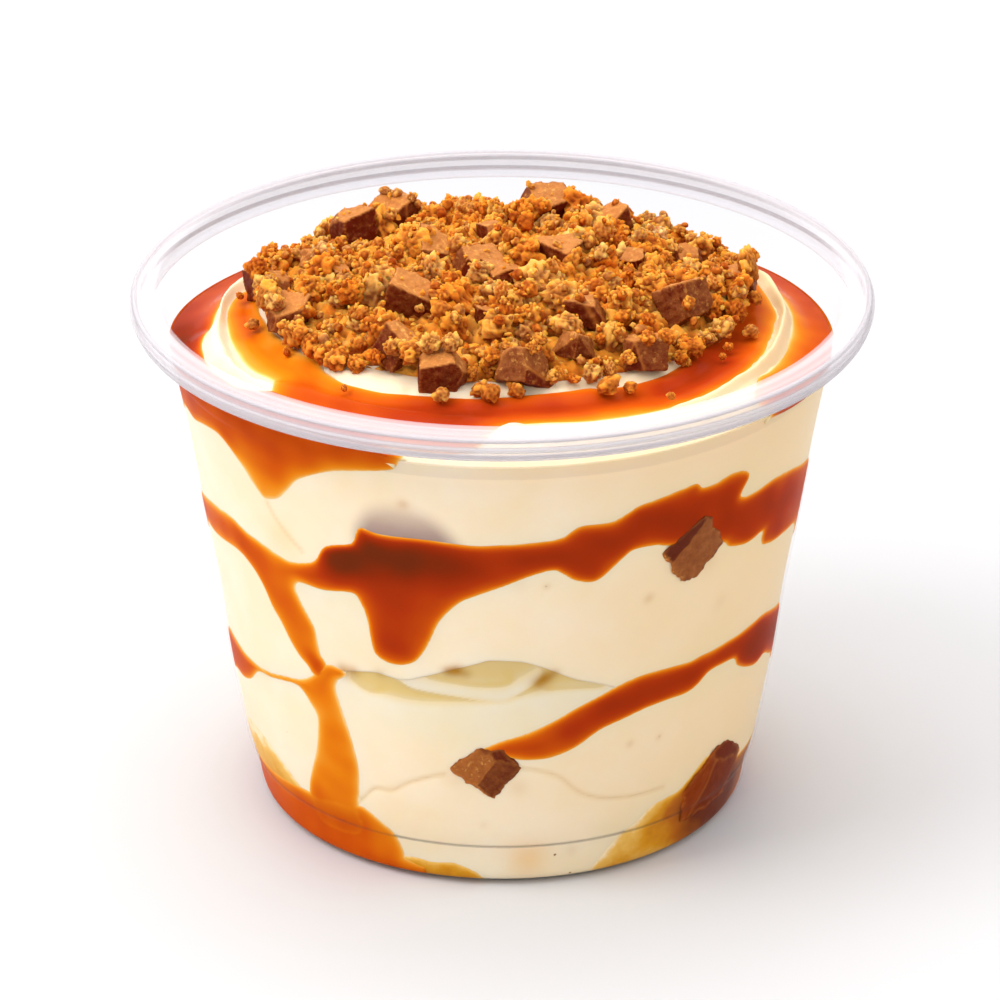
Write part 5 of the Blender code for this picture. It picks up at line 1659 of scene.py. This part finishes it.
FOCAL_LENGTH = 193.58  # of the camera, in mm
AIM = (-0.000259, 0.039594)  # x and z in metres of the point that the camera looks at
LIGHTS_AIM = (0, 0, 40)  # in mm


def make_floor(colour):
    """A matt white table that reaches far past the view."""
    half = 2500.0
    corners = [(-half, -half, 0), (half, -half, 0), (half, half, 0), (-half, half, 0)]
    floor = make_mesh("studio_floor", corners, [[0, 1, 2, 3]], smooth=False)
    look = {"Base Color": (*colour, 1), "Roughness": 0.9, "Specular IOR Level": 0.1}
    floor.data.materials.append(principled(new_material("white_paper_floor"), look))


def make_world():
    """A white studio: the light comes from above, and it is dim near the table."""
    world = bpy.data.worlds.new("studio")
    world.use_nodes = True
    tree = world.node_tree
    tree.nodes.clear()
    way = add_node(tree, "ShaderNodeTexCoord").outputs["Generated"]
    parts = add_node(tree, "ShaderNodeSeparateXYZ", Vector=way)
    overhead = add_node(tree, "ShaderNodeMapRange", {"interpolation_type": "SMOOTHSTEP"},
                        {"From Min": 0.25, "From Max": 0.95, "To Min": 0.94, "To Max": 1.40},
                        Value=parts.outputs["Z"]).outputs[0]
    light = add_node(tree, "ShaderNodeBackground", inputs={"Color": (1, 1, 1, 1)}, Strength=overhead)
    output = add_node(tree, "ShaderNodeOutputWorld")
    tree.links.new(light.outputs[0], output.inputs["Surface"])
    bpy.context.scene.world = world


def area_light(name, place, side, power, colour):
    """A square softbox at this place in mm that looks at the dessert."""
    light = bpy.data.lights.new(name, "AREA")
    light.shape, light.size, light.energy = "SQUARE", side * MM, power
    light.color = linear(colour)[:3]
    lamp = bpy.data.objects.new(name, light)
    lamp.location = Vector(place) * MM
    lamp.rotation_euler = (Vector(LIGHTS_AIM) * MM - lamp.location).to_track_quat("-Z", "Y").to_euler()
    bpy.context.scene.collection.objects.link(lamp)


def make_camera(distance, pitch):
    """The photograph's camera: a long lens that looks down at the cup."""
    lens = bpy.data.cameras.new("camera")
    lens.sensor_width, lens.lens = 36, FOCAL_LENGTH
    lens.clip_start, lens.clip_end = 0.05, 20
    camera = bpy.data.objects.new("camera", lens)
    aim_x, aim_z = AIM
    camera.location = (aim_x, -distance * math.cos(pitch), aim_z + distance * math.sin(pitch))
    camera.rotation_euler = (math.pi / 2 - pitch, 0, 0)
    bpy.context.scene.collection.objects.link(camera)
    bpy.context.scene.camera = camera


OPERATORS = (
    DESSERT_OT_cup, DESSERT_OT_cream, DESSERT_OT_caramel, DESSERT_OT_sponge, DESSERT_OT_wall_chocolate,
    DESSERT_OT_heap, DESSERT_OT_stage,
)


class DESSERT_PT_panel(bpy.types.Panel):
    """Lists the pieces of the dessert"""

    bl_idname = "DESSERT_PT_panel"
    bl_label = "Tiramisu cup"
    bl_space_type = "VIEW_3D"
    bl_region_type = "UI"
    bl_category = "Dessert"

    def draw(self, context):
        sizes = context.scene.dessert_sizes
        for key in sizes.__annotations__:
            self.layout.prop(sizes, key)
        for operator in OPERATORS:
            self.layout.operator(operator.bl_idname)


def register():
    """Registers the sizes, the operators and the panel."""
    for made in (DessertSizes, *OPERATORS, DESSERT_PT_panel):
        bpy.utils.register_class(made)
    bpy.types.Scene.dessert_sizes = bpy.props.PointerProperty(type=DessertSizes)


def unregister():
    """Takes them out again."""
    del bpy.types.Scene.dessert_sizes
    for made in reversed((DessertSizes, *OPERATORS, DESSERT_PT_panel)):
        bpy.utils.unregister_class(made)


def main():
    """Builds the dessert."""
    register()
    for operator in OPERATORS:
        group, call = operator.bl_idname.split(".")
        getattr(getattr(bpy.ops, group), call)()


if __name__ == "__main__":
    main()
